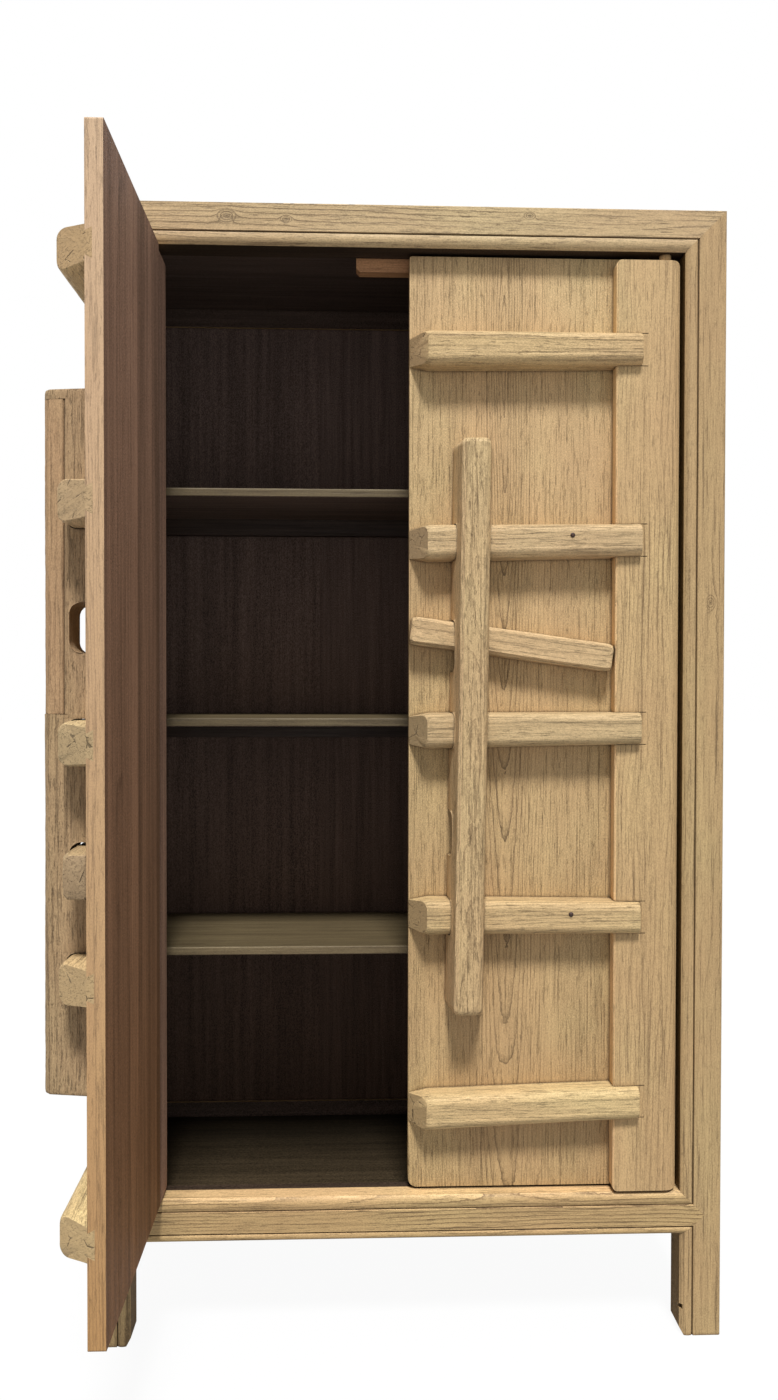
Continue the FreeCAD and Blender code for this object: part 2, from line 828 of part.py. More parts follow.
def make_nail(x, y, z):
    # Head outwards, shank into the wood.
    head = Part.makeCone(
        nail_head_radius, nail_head_radius * nail_crown_share, nail_head_height,
        Vector(x, y, z), Vector(0, -1, 0),
    )
    shank = Part.makeCylinder(nail_shank_radius, nail_length, Vector(x, y, z), Vector(0, 1, 0))
    return joined([head, shank])


def batten_levels():
    # The keeper spans the inner three battens, and the outer two stand beyond its ends.
    return {
        "upper": keeper_head_level + upper_batten_share * (plank_top - keeper_head_level),
        "high": keeper_foot_level + high_batten_share * keeper_length,
        "middle": keeper_foot_level + middle_batten_share * keeper_length,
        "low": keeper_foot_level + low_batten_share * keeper_length,
        "lower": door_bottom + lower_batten_share * (keeper_foot_level - door_bottom),
    }


def bar_level(low_name, high_name, share):
    # Where a bar lies between two battens.
    levels = batten_levels()
    return levels[low_name] + share * (levels[high_name] - levels[low_name])


def mortise_levels():
    # Foot and head of each notch, from the room that its bar takes as it slides.
    upper = bar_level("middle", "high", upper_bar_level_share)
    lower = bar_level("low", "middle", lower_bar_level_share)
    slope = math.tan(math.radians(upper_bar_tilt_angle))
    half = upper_bar_height / (2 * math.cos(math.radians(upper_bar_tilt_angle)))
    near_x = keeper_foot_centre + keeper_lean * (upper - keeper_foot_level)
    far_x = near_x + keeper_rear_half_width
    near_x = near_x - keeper_rear_half_width
    pushed = upper - upper_bar_drop_share * bar_travel
    right_head = upper - slope * (near_x - upper_bar_left) + half
    right_foot = pushed - slope * (far_x + bar_travel - upper_bar_left) - half
    left_head = pushed - slope * (bar_travel - far_x - upper_bar_left) + half
    left_foot = pushed - slope * (bar_travel - near_x - upper_bar_left) - half
    return {
        "right": (
            right_foot - right_mortise_foot_clearance,
            right_head + upper_mortise_head_clearance,
        ),
        "left": (
            left_foot - left_mortise_foot_clearance,
            left_head + upper_mortise_head_clearance,
        ),
        "lower": (
            lower - lower_bar_meeting_height / 2 - lower_mortise_foot_clearance,
            lower + lower_bar_meeting_height / 2 + lower_mortise_head_clearance,
        ),
    }


def batten_rises():
    return {
        "upper": upper_batten_rise,
        "high": high_batten_rise,
        "middle": middle_batten_rise,
        "low": low_batten_rise,
        "lower": lower_batten_rise,
    }


def make_door(side, door_rise, foot_radius, tip_share, keeper_rise, nail_levels):
    # Returns the door's pieces in the place of the shut right door.
    levels = batten_levels()
    rises = batten_rises()
    notches = mortise_levels()
    door = {}
    plank = make_plank(door_rise, foot_radius)
    stile = make_stile(door_rise)
    battens = {name: make_batten(levels[name], rises[name]) for name in levels}
    for name, batten in battens.items():
        plank = plank.cut(batten)
        stile = stile.cut(batten)
        stile = stile.cut(kerfs(levels[name] + rises[name]))
        door[side + "_door_batten_" + name] = batten
    keeper = make_keeper(tip_share, keeper_rise)
    for name in ("high", "middle", "low"):
        keeper = keeper.cut(battens[name])
    for notch_name in (side, "lower"):
        foot, head = notches[notch_name]
        keeper = keeper.cut(mortise(foot, head))
    door[side + "_door_keeper"] = keeper
    door[side + "_door_plank"] = plank
    door[side + "_door_hinge_stile"] = stile
    if nail_levels:
        nails = []
        nail_x = plank_back_x - nail_stile_setback
        nail_share = (nail_x - plank_edge_x) / (plank_back_x - plank_edge_x)
        for name in nail_levels:
            z = levels[name] + nail_share * rises[name] + nail_rise
            nails.append(make_nail(nail_x, front + plank_depth - batten_stand, z))
        both = Part.makeCompound(nails)
        door[side + "_door_nails"] = both
        for nail in nails:
            for key in door:
                if key != side + "_door_nails":
                    door[key] = door[key].cut(nail)
    return door


def add_repair_strip(door):
    # The outer face of the left keeper is a later strip, nailed on at its foot.
    plank_y = front + plank_depth
    strip_foot_level = batten_levels()["middle"] + strip_foot_rise
    first_nail = strip_foot_level + strip_nail_foot_margin
    last_nail = mortise_levels()["left"][0] - strip_nail_head_margin
    room = block(
        (plank_edge_x, stile_inner_x),
        (plank_y - keeper_stand - cut_overrun, plank_y - keeper_stand + strip_thickness),
        (strip_foot_level, keeper_head_level - strip_head_drop),
    )
    keeper = door["left_door_keeper"]
    strip = keeper.common(room)
    keeper = keeper.cut(room)
    nails = []
    for number in range(strip_nail_count):
        z = first_nail + (last_nail - first_nail) * number / (strip_nail_count - 1)
        x = keeper_foot_centre + keeper_lean * (z - keeper_foot_level)
        nails.append(make_nail(x, plank_y - keeper_stand, z))
    for nail in nails:
        keeper = keeper.cut(nail)
        strip = strip.cut(nail)
    door["left_door_keeper"] = keeper
    door["left_door_keeper_strip"] = strip
    door["left_door_nails"] = Part.makeCompound(nails)


def make_doors():
    right_door = make_door(
        "right", right_door_rise, right_plank_foot_radius,
        right_keeper_tip_share, right_keeper_rise, ("high", "low"),
    )
    pieces.update(right_door)
    upper_level = bar_level("middle", "high", upper_bar_level_share)
    upper_span = stile_inner_x - upper_bar_stile_clearance - upper_bar_left
    upper_bar = make_bar(
        upper_bar_left, upper_span / math.cos(math.radians(upper_bar_tilt_angle)),
        upper_level, upper_bar_height, upper_bar_height,
    )
    upper_bar.rotate(
        Vector(upper_bar_left, front, upper_level), Vector(0, 1, 0), upper_bar_tilt_angle,
    )
    pieces["upper_sliding_bar"] = upper_bar

    left_door = make_door("left", 0, left_plank_foot_radius, left_keeper_tip_share, 0, ())
    add_repair_strip(left_door)
    left_door["lower_sliding_bar"] = make_bar(
        lower_bar_start, stile_inner_x - lower_bar_stile_clearance - lower_bar_start,
        bar_level("low", "middle", lower_bar_level_share),
        lower_bar_meeting_height, lower_bar_stile_height,
    )
    axis_point = Vector(-pivot_x, front + pivot_depth, 0)
    for name, shape in left_door.items():
        swung = mirrored(shape)
        swung.rotate(axis_point, Vector(0, 0, 1), -left_door_open_angle)
        pieces[name] = swung


make_front_frame()
cut_pivot_sockets()
make_rear_and_sides()
make_shelves()
make_stop_block()
make_doors()

os.makedirs("parts", exist_ok=True)
for name, shape in sorted(pieces.items()):
    shape.exportStep("parts/" + name + ".step")
    print(name, shape.isValid(), len(shape.Solids), round(shape.Volume / 1e6, 3))
print(len(pieces), "pieces")
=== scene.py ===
# %% [markdown]
# # A plank-door store cupboard
# The cupboard is a framed case with two plank doors on wooden pivots. Each door is
# stiffened by five battens and carries an upright keeper, and a wooden bar slides
# through each keeper. The right door is shut, the left one stands open.
# The measured model comes in as a fixed frame. Posts, rails, planks and shelves keep
# their exact shapes and get a finish here. Battens, keepers and bars were hewn by
# hand, so they are made again as uneven skins in the same places.

# %% Load the fixed frame
import json
import math

import bpy
import numpy as np
from mathutils import Matrix, Vector


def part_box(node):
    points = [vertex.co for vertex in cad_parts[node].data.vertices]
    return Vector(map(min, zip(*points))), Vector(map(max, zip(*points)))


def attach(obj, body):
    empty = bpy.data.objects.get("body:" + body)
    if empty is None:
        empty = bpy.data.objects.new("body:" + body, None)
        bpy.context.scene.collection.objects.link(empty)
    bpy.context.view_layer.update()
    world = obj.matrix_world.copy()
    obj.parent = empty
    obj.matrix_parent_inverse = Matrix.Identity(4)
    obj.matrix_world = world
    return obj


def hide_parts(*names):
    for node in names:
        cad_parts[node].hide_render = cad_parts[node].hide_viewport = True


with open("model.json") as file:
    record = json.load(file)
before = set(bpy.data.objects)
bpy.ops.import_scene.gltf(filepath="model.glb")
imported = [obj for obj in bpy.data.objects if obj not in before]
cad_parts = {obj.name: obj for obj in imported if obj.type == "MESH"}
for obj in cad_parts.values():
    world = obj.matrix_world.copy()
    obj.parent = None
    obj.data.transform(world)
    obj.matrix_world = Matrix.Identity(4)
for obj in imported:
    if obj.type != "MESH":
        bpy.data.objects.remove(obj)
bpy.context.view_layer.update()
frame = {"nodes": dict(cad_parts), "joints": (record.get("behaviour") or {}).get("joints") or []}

mm = 0.001

# %% [markdown]
# ## Where things stand
# Every hewn piece is worked out on a shut right-hand door, because both doors are
# alike: X runs from the meeting edge to the hinge, and depth is measured outwards
# from the face of the plank. One function then carries the points to either door.
# Swapping X and Y turns the shut right door into the open left one, because the
# left door is the mirror image of the right one, swung through a quarter turn.

# %% Door places
pivots = {joint["name"]: joint["pos_m"] for joint in frame["joints"] if "pos_m" in joint}
pivot_x, pivot_y, _ = pivots["right_door_swing"]
plank_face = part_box("right_door_plank")[0].y
meeting_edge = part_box("right_door_plank")[0].x
batten_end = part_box("right_door_batten_upper")[1].x
print("plank face", round(plank_face, 5), "pivot", pivot_x, pivot_y)


def place_on_door(side, along, out, up):
    """Points from door measures: distance from the centre line, depth out of the plank's
    face and height. The left door swaps X and Y about its pivot, because it stands open."""
    x, y, z = np.broadcast_arrays(along, plank_face - out, up)
    if side == "left":
        x, y = y - pivot_x - pivot_y, x - pivot_x + pivot_y
    return np.stack([x, y, z], -1)


# %% [markdown]
# ## Hewn wood needs slow, uneven waves
# A drawknife leaves shallow hollows, and a hundred years of hands wear the arrises.
# A sculpted mesh could show that, but a sum of smooth random fields is repeatable
# and stays within a known depth. The field only ever goes inwards, so a bar still
# slides through its keeper and no piece grows past its measured size.

# %% A smooth random field
def hollows(a, b, step_a, step_b, seed):
    """Values from 0 to 1. Random numbers stand on a lattice with the given steps, and
    between them each value is eased by t * t * (3 - 2 * t) in both directions."""
    lattice = np.random.default_rng(seed).random((97, 89))
    u, v = np.broadcast_arrays(np.asarray(a) / step_a, np.asarray(b) / step_b)
    iu, iv = np.floor(u).astype(int), np.floor(v).astype(int)
    fu, fv = u - iu, v - iv
    fu, fv = fu * fu * (3 - 2 * fu), fv * fv * (3 - 2 * fv)
    rows, cols = iu % 97, iv % 89
    rows_next, cols_next = (iu + 1) % 97, (iv + 1) % 89
    near = lattice[rows, cols] * (1 - fv) + lattice[rows, cols_next] * fv
    far = lattice[rows_next, cols] * (1 - fv) + lattice[rows_next, cols_next] * fv
    return near * (1 - fu) + far * fu


def wear(along, around, cuts, seed):
    """Depth worn away: the sum of depth * hollows over the cuts. Each cut gives its
    depth, its step along the stick and its step round it, and takes the next seed."""
    return sum(depth * hollows(along, around, step, girth_step, seed + number)
               for number, (depth, step, girth_step) in enumerate(cuts))


sample = hollows(np.linspace(0, 1, 400), 0.0, 0.05, 0.05, 3)
print("hollows run from", round(float(sample.min()), 2), "to", round(float(sample.max()), 2))

# %% [markdown]
# ## A closed skin from rings
# Each hewn piece is a stick: one ring of points follows the next along its length.
# Quads join neighbouring rings, and a fan of triangles closes each end, so the skin
# is watertight. The signed volume tells which way the faces look: if it is negative
# they are turned round, which also puts right the mirrored pieces of the left door.

# %% Ring tools
def ring_from_corners(corners, counts):
    """Rings of points from rings of corners, shape (stations, corners, 2). Edge j is cut
    into counts[j] equal steps, as corner * (1 - t) + next corner * t."""
    after = np.roll(corners, -1, axis=1)
    runs = []
    for edge, count in enumerate(counts):
        t = (np.arange(count) / count)[None, :, None]
        runs.append(corners[:, edge, None] * (1 - t) + after[:, edge, None] * t)
    return np.concatenate(runs, axis=1)


def skin_faces(points, stations, around):
    """Quads between rings and a fan at each end, turned so that the volume is positive."""
    index = np.arange(stations * around).reshape(stations, around)
    beside = np.roll(index, -1, axis=1)
    quads = np.stack([index[:-1], beside[:-1], beside[1:], index[1:]], -1).reshape(-1, 4)
    first, last = stations * around, stations * around + 1
    foot = np.stack([np.full(around, first), beside[0], index[0]], -1)
    head = np.stack([np.full(around, last), index[-1], beside[-1]], -1)
    fans = np.concatenate([foot, head])
    corner = points[np.concatenate([quads[:, [0, 1, 2]], quads[:, [0, 2, 3]], fans])]
    volume = np.einsum("ij,ij->", corner[:, 0], np.cross(corner[:, 1], corner[:, 2])) / 6
    if volume < 0:
        quads, fans = quads[:, ::-1], fans[:, ::-1]
    return quads, fans, abs(volume)


def stick(name, rings, body, node, finish, sharp=38, first_middle=None):
    """One closed object from rings of shape (stations, around, 3). The middle of the
    first and last ring closes the ends, or first_middle where the first end has a fold.
    It stands for its node of the frame."""
    stations, around, _ = rings.shape
    first = rings[0].mean(0) if first_middle is None else first_middle
    points = np.concatenate([rings.reshape(-1, 3), first[None], rings[-1].mean(0)[None]])
    quads, fans, volume = skin_faces(points, stations, around)
    mesh = bpy.data.meshes.new(name)
    mesh.from_pydata(points.tolist(), [], quads.tolist() + fans.tolist())
    mesh.polygons.foreach_set("use_smooth", np.ones(len(mesh.polygons), bool))
    mesh.set_sharp_from_angle(angle=math.radians(sharp))
    mesh.materials.append(finish)
    made = bpy.data.objects.new(name, mesh)
    bpy.context.scene.collection.objects.link(made)
    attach(made, body)
    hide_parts(node)
    print(name, len(mesh.polygons), "faces", round(volume * 1e6), "cubic cm")
    return made


# %% [markdown]
# ## Colours and small node helpers
# Colours are read off the real finish as eye values from 0 to 255 and made linear,
# because shaders mix light, and light adds up linearly. The helpers below only save
# typing: one adds a node and wires its sockets, the others do sums, spread a value
# over a new range, and blend two colours.

# %% Colour and node helpers
def tone(red, green, blue):
    """An eye colour from 0 to 255 as linear light, by the usual screen curve."""
    share = np.array([red, green, blue]) / 255
    line = np.where(share > 0.04045, ((share + 0.055) / 1.055) ** 2.4, share / 12.92)
    return (*line.tolist(), 1.0)


def lit(colour, by):
    return (*[min(1.0, part * by) for part in colour[:3]], 1.0)


def bare_material(name):
    """A new material without nodes, and its tree."""
    material = bpy.data.materials.new(name)
    material.use_nodes = True
    material.node_tree.nodes.clear()
    return material, material.node_tree


def add(tree, kind, inputs=None, **settings):
    """A node of that kind, with its settings, and each input wired or set."""
    made = tree.nodes.new(kind)
    for key, value in settings.items():
        setattr(made, key, value)
    for key, value in (inputs or {}).items():
        if isinstance(value, bpy.types.NodeSocket):
            tree.links.new(value, made.inputs[key])
        else:
            made.inputs[key].default_value = value
    return made


def calc(tree, operation, first, second=0.0, clamp=False):
    both = {0: first, 1: second}
    return add(tree, "ShaderNodeMath", both, operation=operation, use_clamp=clamp).outputs[0]


def vector(tree, operation, first, second):
    """A sum of two vectors, or a vector times a number under SCALE."""
    both = {0: first, ("Scale" if operation == "SCALE" else 1): second}
    return add(tree, "ShaderNodeVectorMath", both, operation=operation).outputs[0]


def part_of(tree, place, axis):
    """One of the three parts of a vector, by the letter of its axis."""
    return add(tree, "ShaderNodeSeparateXYZ", {0: place}).outputs["XYZ".index(axis)]


def spread(tree, value, low, high, to_low=0.0, to_high=1.0):
    """The part of value between low and high, stretched to the new range and clamped."""
    inputs = {"Value": value, "From Min": low, "From Max": high, "To Min": to_low, "To Max": to_high}
    return add(tree, "ShaderNodeMapRange", inputs).outputs["Result"]


def blend(tree, share, first, second, how="MIX"):
    inputs = {0: share, 6: first, 7: second}
    return add(tree, "ShaderNodeMix", inputs, data_type="RGBA", blend_type=how).outputs[2]


def times(tree, shade, red, green, blue):
    """A colour with each part multiplied by its own factor."""
    return blend(tree, 1.0, shade, (red, green, blue, 1), "MULTIPLY")


def wire_out(tree, shader, kind="ShaderNodeOutputMaterial"):
    """Joins a shader to the output of its tree."""
    tree.links.new(shader.outputs[0], add(tree, kind).inputs[0])


# %% [markdown]
# ## The figure of the wood
# A board shows the year rings of the trunk it was cut from. Rings are circles about
# the pith, so the distance from a slightly leaning axis, cut into even steps, gives
# the long arches and straight lines of a real board at once. Along the grain, noise
# is stretched fifty times to become fibres, and broader bands to become streaks.
# Everything reads Object coordinates, so the figure runs through the thickness and
# shows end grain at the ends. The long way of each board is first turned to Z.

# %% Figure of a board
turns = {"X": (0, -math.pi / 2, 0), "Y": (math.pi / 2, 0, 0), "Z": (0, 0, 0)}
sharpness = 7.5


def stretched(tree, place, scale, length_share, detail, roughness=0.55, offset=0.0):
    """Noise drawn out along Z: the place is squeezed there before the noise reads it."""
    squeezed = add(tree, "ShaderNodeMapping", {
        "Vector": place, "Location": (offset, offset * 0.7, offset * 1.3),
        "Scale": (1, 1, length_share),
    }).outputs[0]
    return add(tree, "ShaderNodeTexNoise", {
        "Vector": squeezed, "Scale": scale, "Detail": detail, "Roughness": roughness,
    }).outputs[0]


def knot_pull(tree, turned, knots):
    """How near each place is to a knot, as the sum of exp(-d * d), the core of each knot
    and the small rings round it, which are the fraction of 2.6 * d. Here d is the
    distance in knot sizes, counted two thirds as far along the grain."""
    across_grain, along_grain = part_of(tree, turned, "X"), part_of(tree, turned, "Z")
    pull = core = eye = 0.0
    for across, along, size in knots:
        side = calc(tree, "DIVIDE", calc(tree, "SUBTRACT", across_grain, across), size)
        up = calc(tree, "DIVIDE", calc(tree, "SUBTRACT", along_grain, along), size * 1.5)
        far = calc(tree, "ADD", calc(tree, "MULTIPLY", side, side), calc(tree, "MULTIPLY", up, up))
        circle = calc(tree, "FRACT", calc(tree, "MULTIPLY", calc(tree, "SQRT", far), 2.6))
        circle = calc(tree, "MULTIPLY", calc(tree, "POWER", circle, 2.5), spread(tree, far, 2.0, 0.9))
        pull = calc(tree, "ADD", pull, calc(tree, "EXPONENT", calc(tree, "MULTIPLY", far, -1.0)))
        core = calc(tree, "MAXIMUM", core, spread(tree, far, 0.05, 0.01))
        eye = calc(tree, "MAXIMUM", eye, circle)
    return pull, core, eye


def ring_fade(tree, turned, shifted, ring_low, focus):
    """How strongly the rings show, from ring_low to 1. With a focus they gather in a
    strip, by exp(-d * d) with d = (across - middle) / width."""
    fade = spread(tree, stretched(tree, shifted, 15, 0.13, 2), 0.45, 0.58, ring_low, 1.0)
    if not focus:
        return fade
    middle, width = focus
    d = calc(tree, "DIVIDE", calc(tree, "SUBTRACT", part_of(tree, turned, "X"), middle), width)
    bell = calc(tree, "EXPONENT", calc(tree, "MULTIPLY", calc(tree, "MULTIPLY", d, d), -1.0))
    return calc(tree, "MAXIMUM", calc(tree, "MULTIPLY", fade, 0.35), calc(tree, "MULTIPLY", bell, 0.85))


def board_figure(tree, along, seed, pith, lean, ring_step, ring_low, *, turn, knots, wander, focus):
    """Rings, fibres, streaks and marks as values from 0 to 1. Rings are the distance from
    the pith, bent by slow noise and pushed out by knots, in steps of ring_step metres."""
    source = add(tree, "ShaderNodeTexCoord")
    turned = add(tree, "ShaderNodeMapping", {
        "Vector": source.outputs["Object"],
        "Rotation": tuple(a + b for a, b in zip(turns[along], (0, turn, 0))),
    }).outputs[0]
    shifted = add(tree, "ShaderNodeMapping", {
        "Vector": turned, "Location": (seed * 0.37, seed * 0.53, seed * 0.71),
    }).outputs[0]
    drift = add(tree, "ShaderNodeTexNoise", {
        "Vector": add(tree, "ShaderNodeMapping", {"Vector": shifted, "Scale": (1, 1, 0.22)}).outputs[0],
        "Scale": 7.0, "Detail": 2.0,
    })
    bend = vector(tree, "SCALE", vector(tree, "SUBTRACT", drift.outputs[1], (0.5, 0.5, 0.5)), wander)
    trunk = add(tree, "ShaderNodeMapping", {
        "Vector": turned, "Location": (-pith[0], -pith[1], 0), "Rotation": (lean[1], lean[0], 0),
    }).outputs[0]
    trunk = vector(tree, "ADD", trunk, bend)
    core = eye = 0.0
    if knots:
        pull, core, eye = knot_pull(tree, turned, knots)
        away = -ring_step * 4.5 / math.hypot(*pith)
        push = add(tree, "ShaderNodeCombineXYZ", {
            number: calc(tree, "MULTIPLY", pull, part * away) for number, part in enumerate(pith)})
        trunk = vector(tree, "ADD", trunk, push.outputs[0])
    rings = add(tree, "ShaderNodeTexWave", {
        "Vector": trunk, "Scale": math.pi / (10 * ring_step), "Distortion": 0.9, "Detail": 1.6,
        "Detail Scale": 1.8,
    }, wave_type="RINGS", rings_direction="Z", wave_profile="SAW").outputs["Fac"]
    rings = calc(tree, "POWER", rings, sharpness)
    rings = calc(tree, "MULTIPLY", rings, ring_fade(tree, turned, shifted, ring_low, focus))
    crack = stretched(tree, shifted, 60, 0.03, 3, 0.6, 3.1)
    crack = calc(tree, "ABSOLUTE", calc(tree, "SUBTRACT", crack, 0.5))
    broken = spread(tree, stretched(tree, shifted, 34, 0.2, 2, 0.5, 7.9), 0.5, 0.62)
    return {
        "source": source,
        "place": shifted,
        "bend": stretched(tree, shifted, 60, 1.0, 2, 0.5, 4.4),
        "core": core,
        "rings": calc(tree, "MAXIMUM", rings, eye),
        "fibres": spread(tree, stretched(tree, shifted, 340, 0.02, 4, 0.7), 0.36, 0.64),
        "streaks": spread(tree, stretched(tree, shifted, 70, 0.028, 3, 0.6, 1.7), 0.34, 0.66),
        "lines": spread(tree, stretched(tree, shifted, 230, 0.02, 4, 0.72, 5.7), 0.57, 0.64),
        "bands": spread(tree, stretched(tree, shifted, 17, 0.02, 2, 0.5, 6.1), 0.4, 0.6),
        "speckle": spread(tree, stretched(tree, shifted, 760, 0.45, 2, 0.7, 9.3), 0.36, 0.64),
        "dashes": spread(tree, stretched(tree, shifted, 250, 0.11, 3, 0.65, 8.1), 0.58, 0.67),
        "pores": spread(tree, stretched(tree, shifted, 420, 0.09, 3, 0.65, 0.9), 0.58, 0.68),
        "cracks": calc(tree, "MULTIPLY", spread(tree, crack, 0.016, 0.0), broken),
        "clouds": spread(tree, stretched(tree, shifted, 5.5, 0.55, 3, 0.55, 2.3), 0.35, 0.68),
        "pits": spread(tree, stretched(tree, shifted, 230, 0.3, 3, 0.6, 4.2), 0.63, 0.69),
    }


# %% [markdown]
# ## Bleached, brushed timber
# The doors and frame were stripped and bleached: the summer wood stays a warm straw
# colour, the hard winter lines stand up brown, and grey dirt sits in every corner.
# One recipe makes all of it. The figure sets how far the colour goes from pale to
# deep, clouds warm it, pores, pits and cracks darken it, and an occlusion node darkens
# the corners, as dirt and as painted shade. Sides that face the light can be painted
# paler, a painted highlight, and a painted falloff darkens the wood lower down, a
# painted shade. The inside of the doors and case carries a dark brown stain, laid on
# where the surface looks inwards.

# %% Recipe for timber
def facing(tree, source, sides, start=0.35, end=0.75):
    """1 where the surface looks towards any of the given sides, 0 elsewhere."""
    value = -1.0
    for sign, axis in sides:
        towards = calc(tree, "MULTIPLY", part_of(tree, source.outputs["Normal"], axis), float(sign + "1"))
        value = calc(tree, "MAXIMUM", value, towards)
    return spread(tree, value, start, end)


def combined(tree, figure, weights, how="ADD", start=0.0):
    """The sum, or the largest, of weight * part over the named parts of the figure,
    kept between 0 and 1."""
    total = start
    for part, weight in weights.items():
        if weight:
            total = calc(tree, how, total, calc(tree, "MULTIPLY", figure[part], weight))
    return calc(tree, "ADD", total, 0.0, clamp=True)


def timber(name, colour, along, seed, *, ring=0.5, fibre=0.3, streak=0.2, line=0.3, band=0.0,
           grain=0.24, dash=0.0, pore=0.35, crack=0.0, pit=0.0, cloud=0.35, ring_step=0.0055,
           ring_low=0.12, pith=(0.0, 0.09), lean=(0.02, 0.03), turn=0.0, knots=(), wander=0.045,
           focus=None, warm=(1.04, 0.98, 0.92), deep=0.45, rough=0.62, relief=0.5, dirt_and_corner_shade=0.5,
           stain_and_shade_tone=None, stain_and_shade_sides=(), flat_only=False, behind=None, stain_band=0.1, stain_speckle=0.55,
           painted_falloff=0.0, painted_falloff_tone=(0.62, 0.56, 0.47), painted_falloff_way=("Z", 1.9, 0.25),
           plain=(), plain_share=0.75, plain_by=0.86, plain_tone=None, check=0.0,
           painted_light_sides=(), painted_light_by=1.25):
    """A timber finish. The sum of rings, fibres and streaks, each by its weight, blends
    pale into deep wood; painted_falloff darkens it by that share along its way, a painted
    shade for light that falls off lower down on the doors and further back on the floor.
    Three sets of sides look different: stain_and_shade_sides are dark, as stain and in
    places as painted shade, only behind that depth where it is given, plain ones lose most
    of their figure and may show drying checks, and painted_light_sides are paler, a
    painted highlight. Occlusion darkens corners by dirt_and_corner_shade, as dirt and as
    painted shade."""
    material, tree = bare_material(name)
    figure = board_figure(tree, along, seed, pith, lean, ring_step, ring_low,
                          turn=turn, knots=knots, wander=wander, focus=focus)
    place = figure["source"].outputs["Object"]
    depth = combined(tree, figure, {"rings": ring, "fibres": fibre, "lines": line, "speckle": grain,
                                    "dashes": dash, "bands": band, "streaks": streak})
    warmed, fresh, brown = (
        (*[part * by for part, by in zip(colour[:3], cast)], 1.0)
        for cast in (warm, (0.98, 1.01, 0.93), (deep, 0.93 * deep, 0.83 * deep)))
    pale = blend(tree, figure["clouds"], lit(fresh, 1.3), lit(warmed, 1.18))
    shade = blend(tree, depth, pale, brown)
    shade = blend(tree, calc(tree, "MULTIPLY", figure["clouds"], cloud), shade, lit(warmed, 0.86))
    marks = combined(tree, figure, {"pores": pore, "pits": pit, "cracks": crack}, "MAXIMUM")
    shade = blend(tree, marks, shade, lit(brown, 0.5))
    if knots:
        shade = blend(tree, calc(tree, "MULTIPLY", figure["core"], 0.75), shade, lit(brown, 0.55))
    # Painted highlight: sides that face the light are made paler.
    if painted_light_sides:
        painted_light_share = facing(tree, figure["source"], painted_light_sides, 0.25, 0.8)
        shade = blend(tree, painted_light_share, shade, times(tree, shade, painted_light_by, painted_light_by, painted_light_by * 1.05))
    if plain:
        cut = facing(tree, figure["source"], plain, 0.55, 0.75)
        share = calc(tree, "MULTIPLY", cut, plain_share)
        shade = blend(tree, share, shade, plain_tone or lit(warmed, plain_by))
        web = add(tree, "ShaderNodeTexVoronoi", {
            "Vector": figure["place"], "Scale": 36.0}, feature="DISTANCE_TO_EDGE").outputs["Distance"]
        web = calc(tree, "MULTIPLY", spread(tree, web, 0.03, 0.012), calc(tree, "MULTIPLY", cut, check))
        web = calc(tree, "MULTIPLY", web, spread(tree, figure["bend"], 0.54, 0.6))
        shade = blend(tree, web, shade, lit(brown, 0.45))
        marks = calc(tree, "MAXIMUM", marks, web)
    shine = 0.3
    # Inward faces take the dark stain; on the front posts' inner sides that darkening is also painted
    # shade.
    if stain_and_shade_sides:
        limits = (0.93, 0.99) if flat_only else (0.35, 0.75)
        inside = facing(tree, figure["source"], stain_and_shade_sides, *limits)
        if behind is not None:
            back = part_of(tree, place, "Y")
            inside = calc(tree, "MULTIPLY", inside, spread(tree, back, behind, behind + 0.002))
        inner = combined(tree, figure, {"bands": stain_band, "speckle": stain_speckle, "streaks": 0.2},
                         start=calc(tree, "MULTIPLY", depth, 0.3))
        dark = blend(tree, inner, lit(stain_and_shade_tone, 2.1), lit(stain_and_shade_tone, 0.36))
        dark = blend(tree, calc(tree, "MULTIPLY", figure["clouds"], 0.3), dark, lit(stain_and_shade_tone, 0.8))
        dark = blend(tree, marks, dark, lit(stain_and_shade_tone, 0.35))
        shade = blend(tree, inside, shade, dark)
        shine = spread(tree, inside, 0, 1, shine, 0.05)
    # Painted shade: darker towards the low end of its way, for light that falls off.
    if painted_falloff:
        axis, high, low = painted_falloff_way
        share = spread(tree, part_of(tree, place, axis), high, low, 0.0, painted_falloff)
        shade = blend(tree, share, shade, times(tree, shade, *painted_falloff_tone))
    # Occlusion darkens corners and contacts: partly dirt, partly painted shade.
    corner = add(tree, "ShaderNodeAmbientOcclusion", {"Distance": 0.007}, samples=6).outputs["AO"]
    grime_and_shade = calc(tree, "MULTIPLY", spread(tree, corner, 0.85, 0.4), dirt_and_corner_shade)
    shade = blend(tree, grime_and_shade, shade, times(tree, shade, *tone(90, 70, 54)[:3]))
    height = calc(tree, "MULTIPLY", figure["rings"], 0.35)
    height = calc(tree, "SUBTRACT", height, calc(tree, "MULTIPLY", figure["lines"], 0.45))
    height = calc(tree, "SUBTRACT", height, marks)
    bump = add(tree, "ShaderNodeBump", {"Height": height, "Strength": relief, "Distance": 0.0012})
    wire_out(tree, add(tree, "ShaderNodeBsdfPrincipled", {
        "Base Color": shade, "Normal": bump.outputs[0], "Specular IOR Level": shine,
        "Roughness": spread(tree, figure["fibres"], 0, 1, rough - 0.07, rough + 0.09),
    }))
    return material


def dress(node, finish):
    """Gives a node of the frame its finish, through its material slots."""
    piece = frame["nodes"][node]
    if not piece.material_slots:
        piece.data.materials.append(finish)
    for place in piece.material_slots:
        place.material = finish


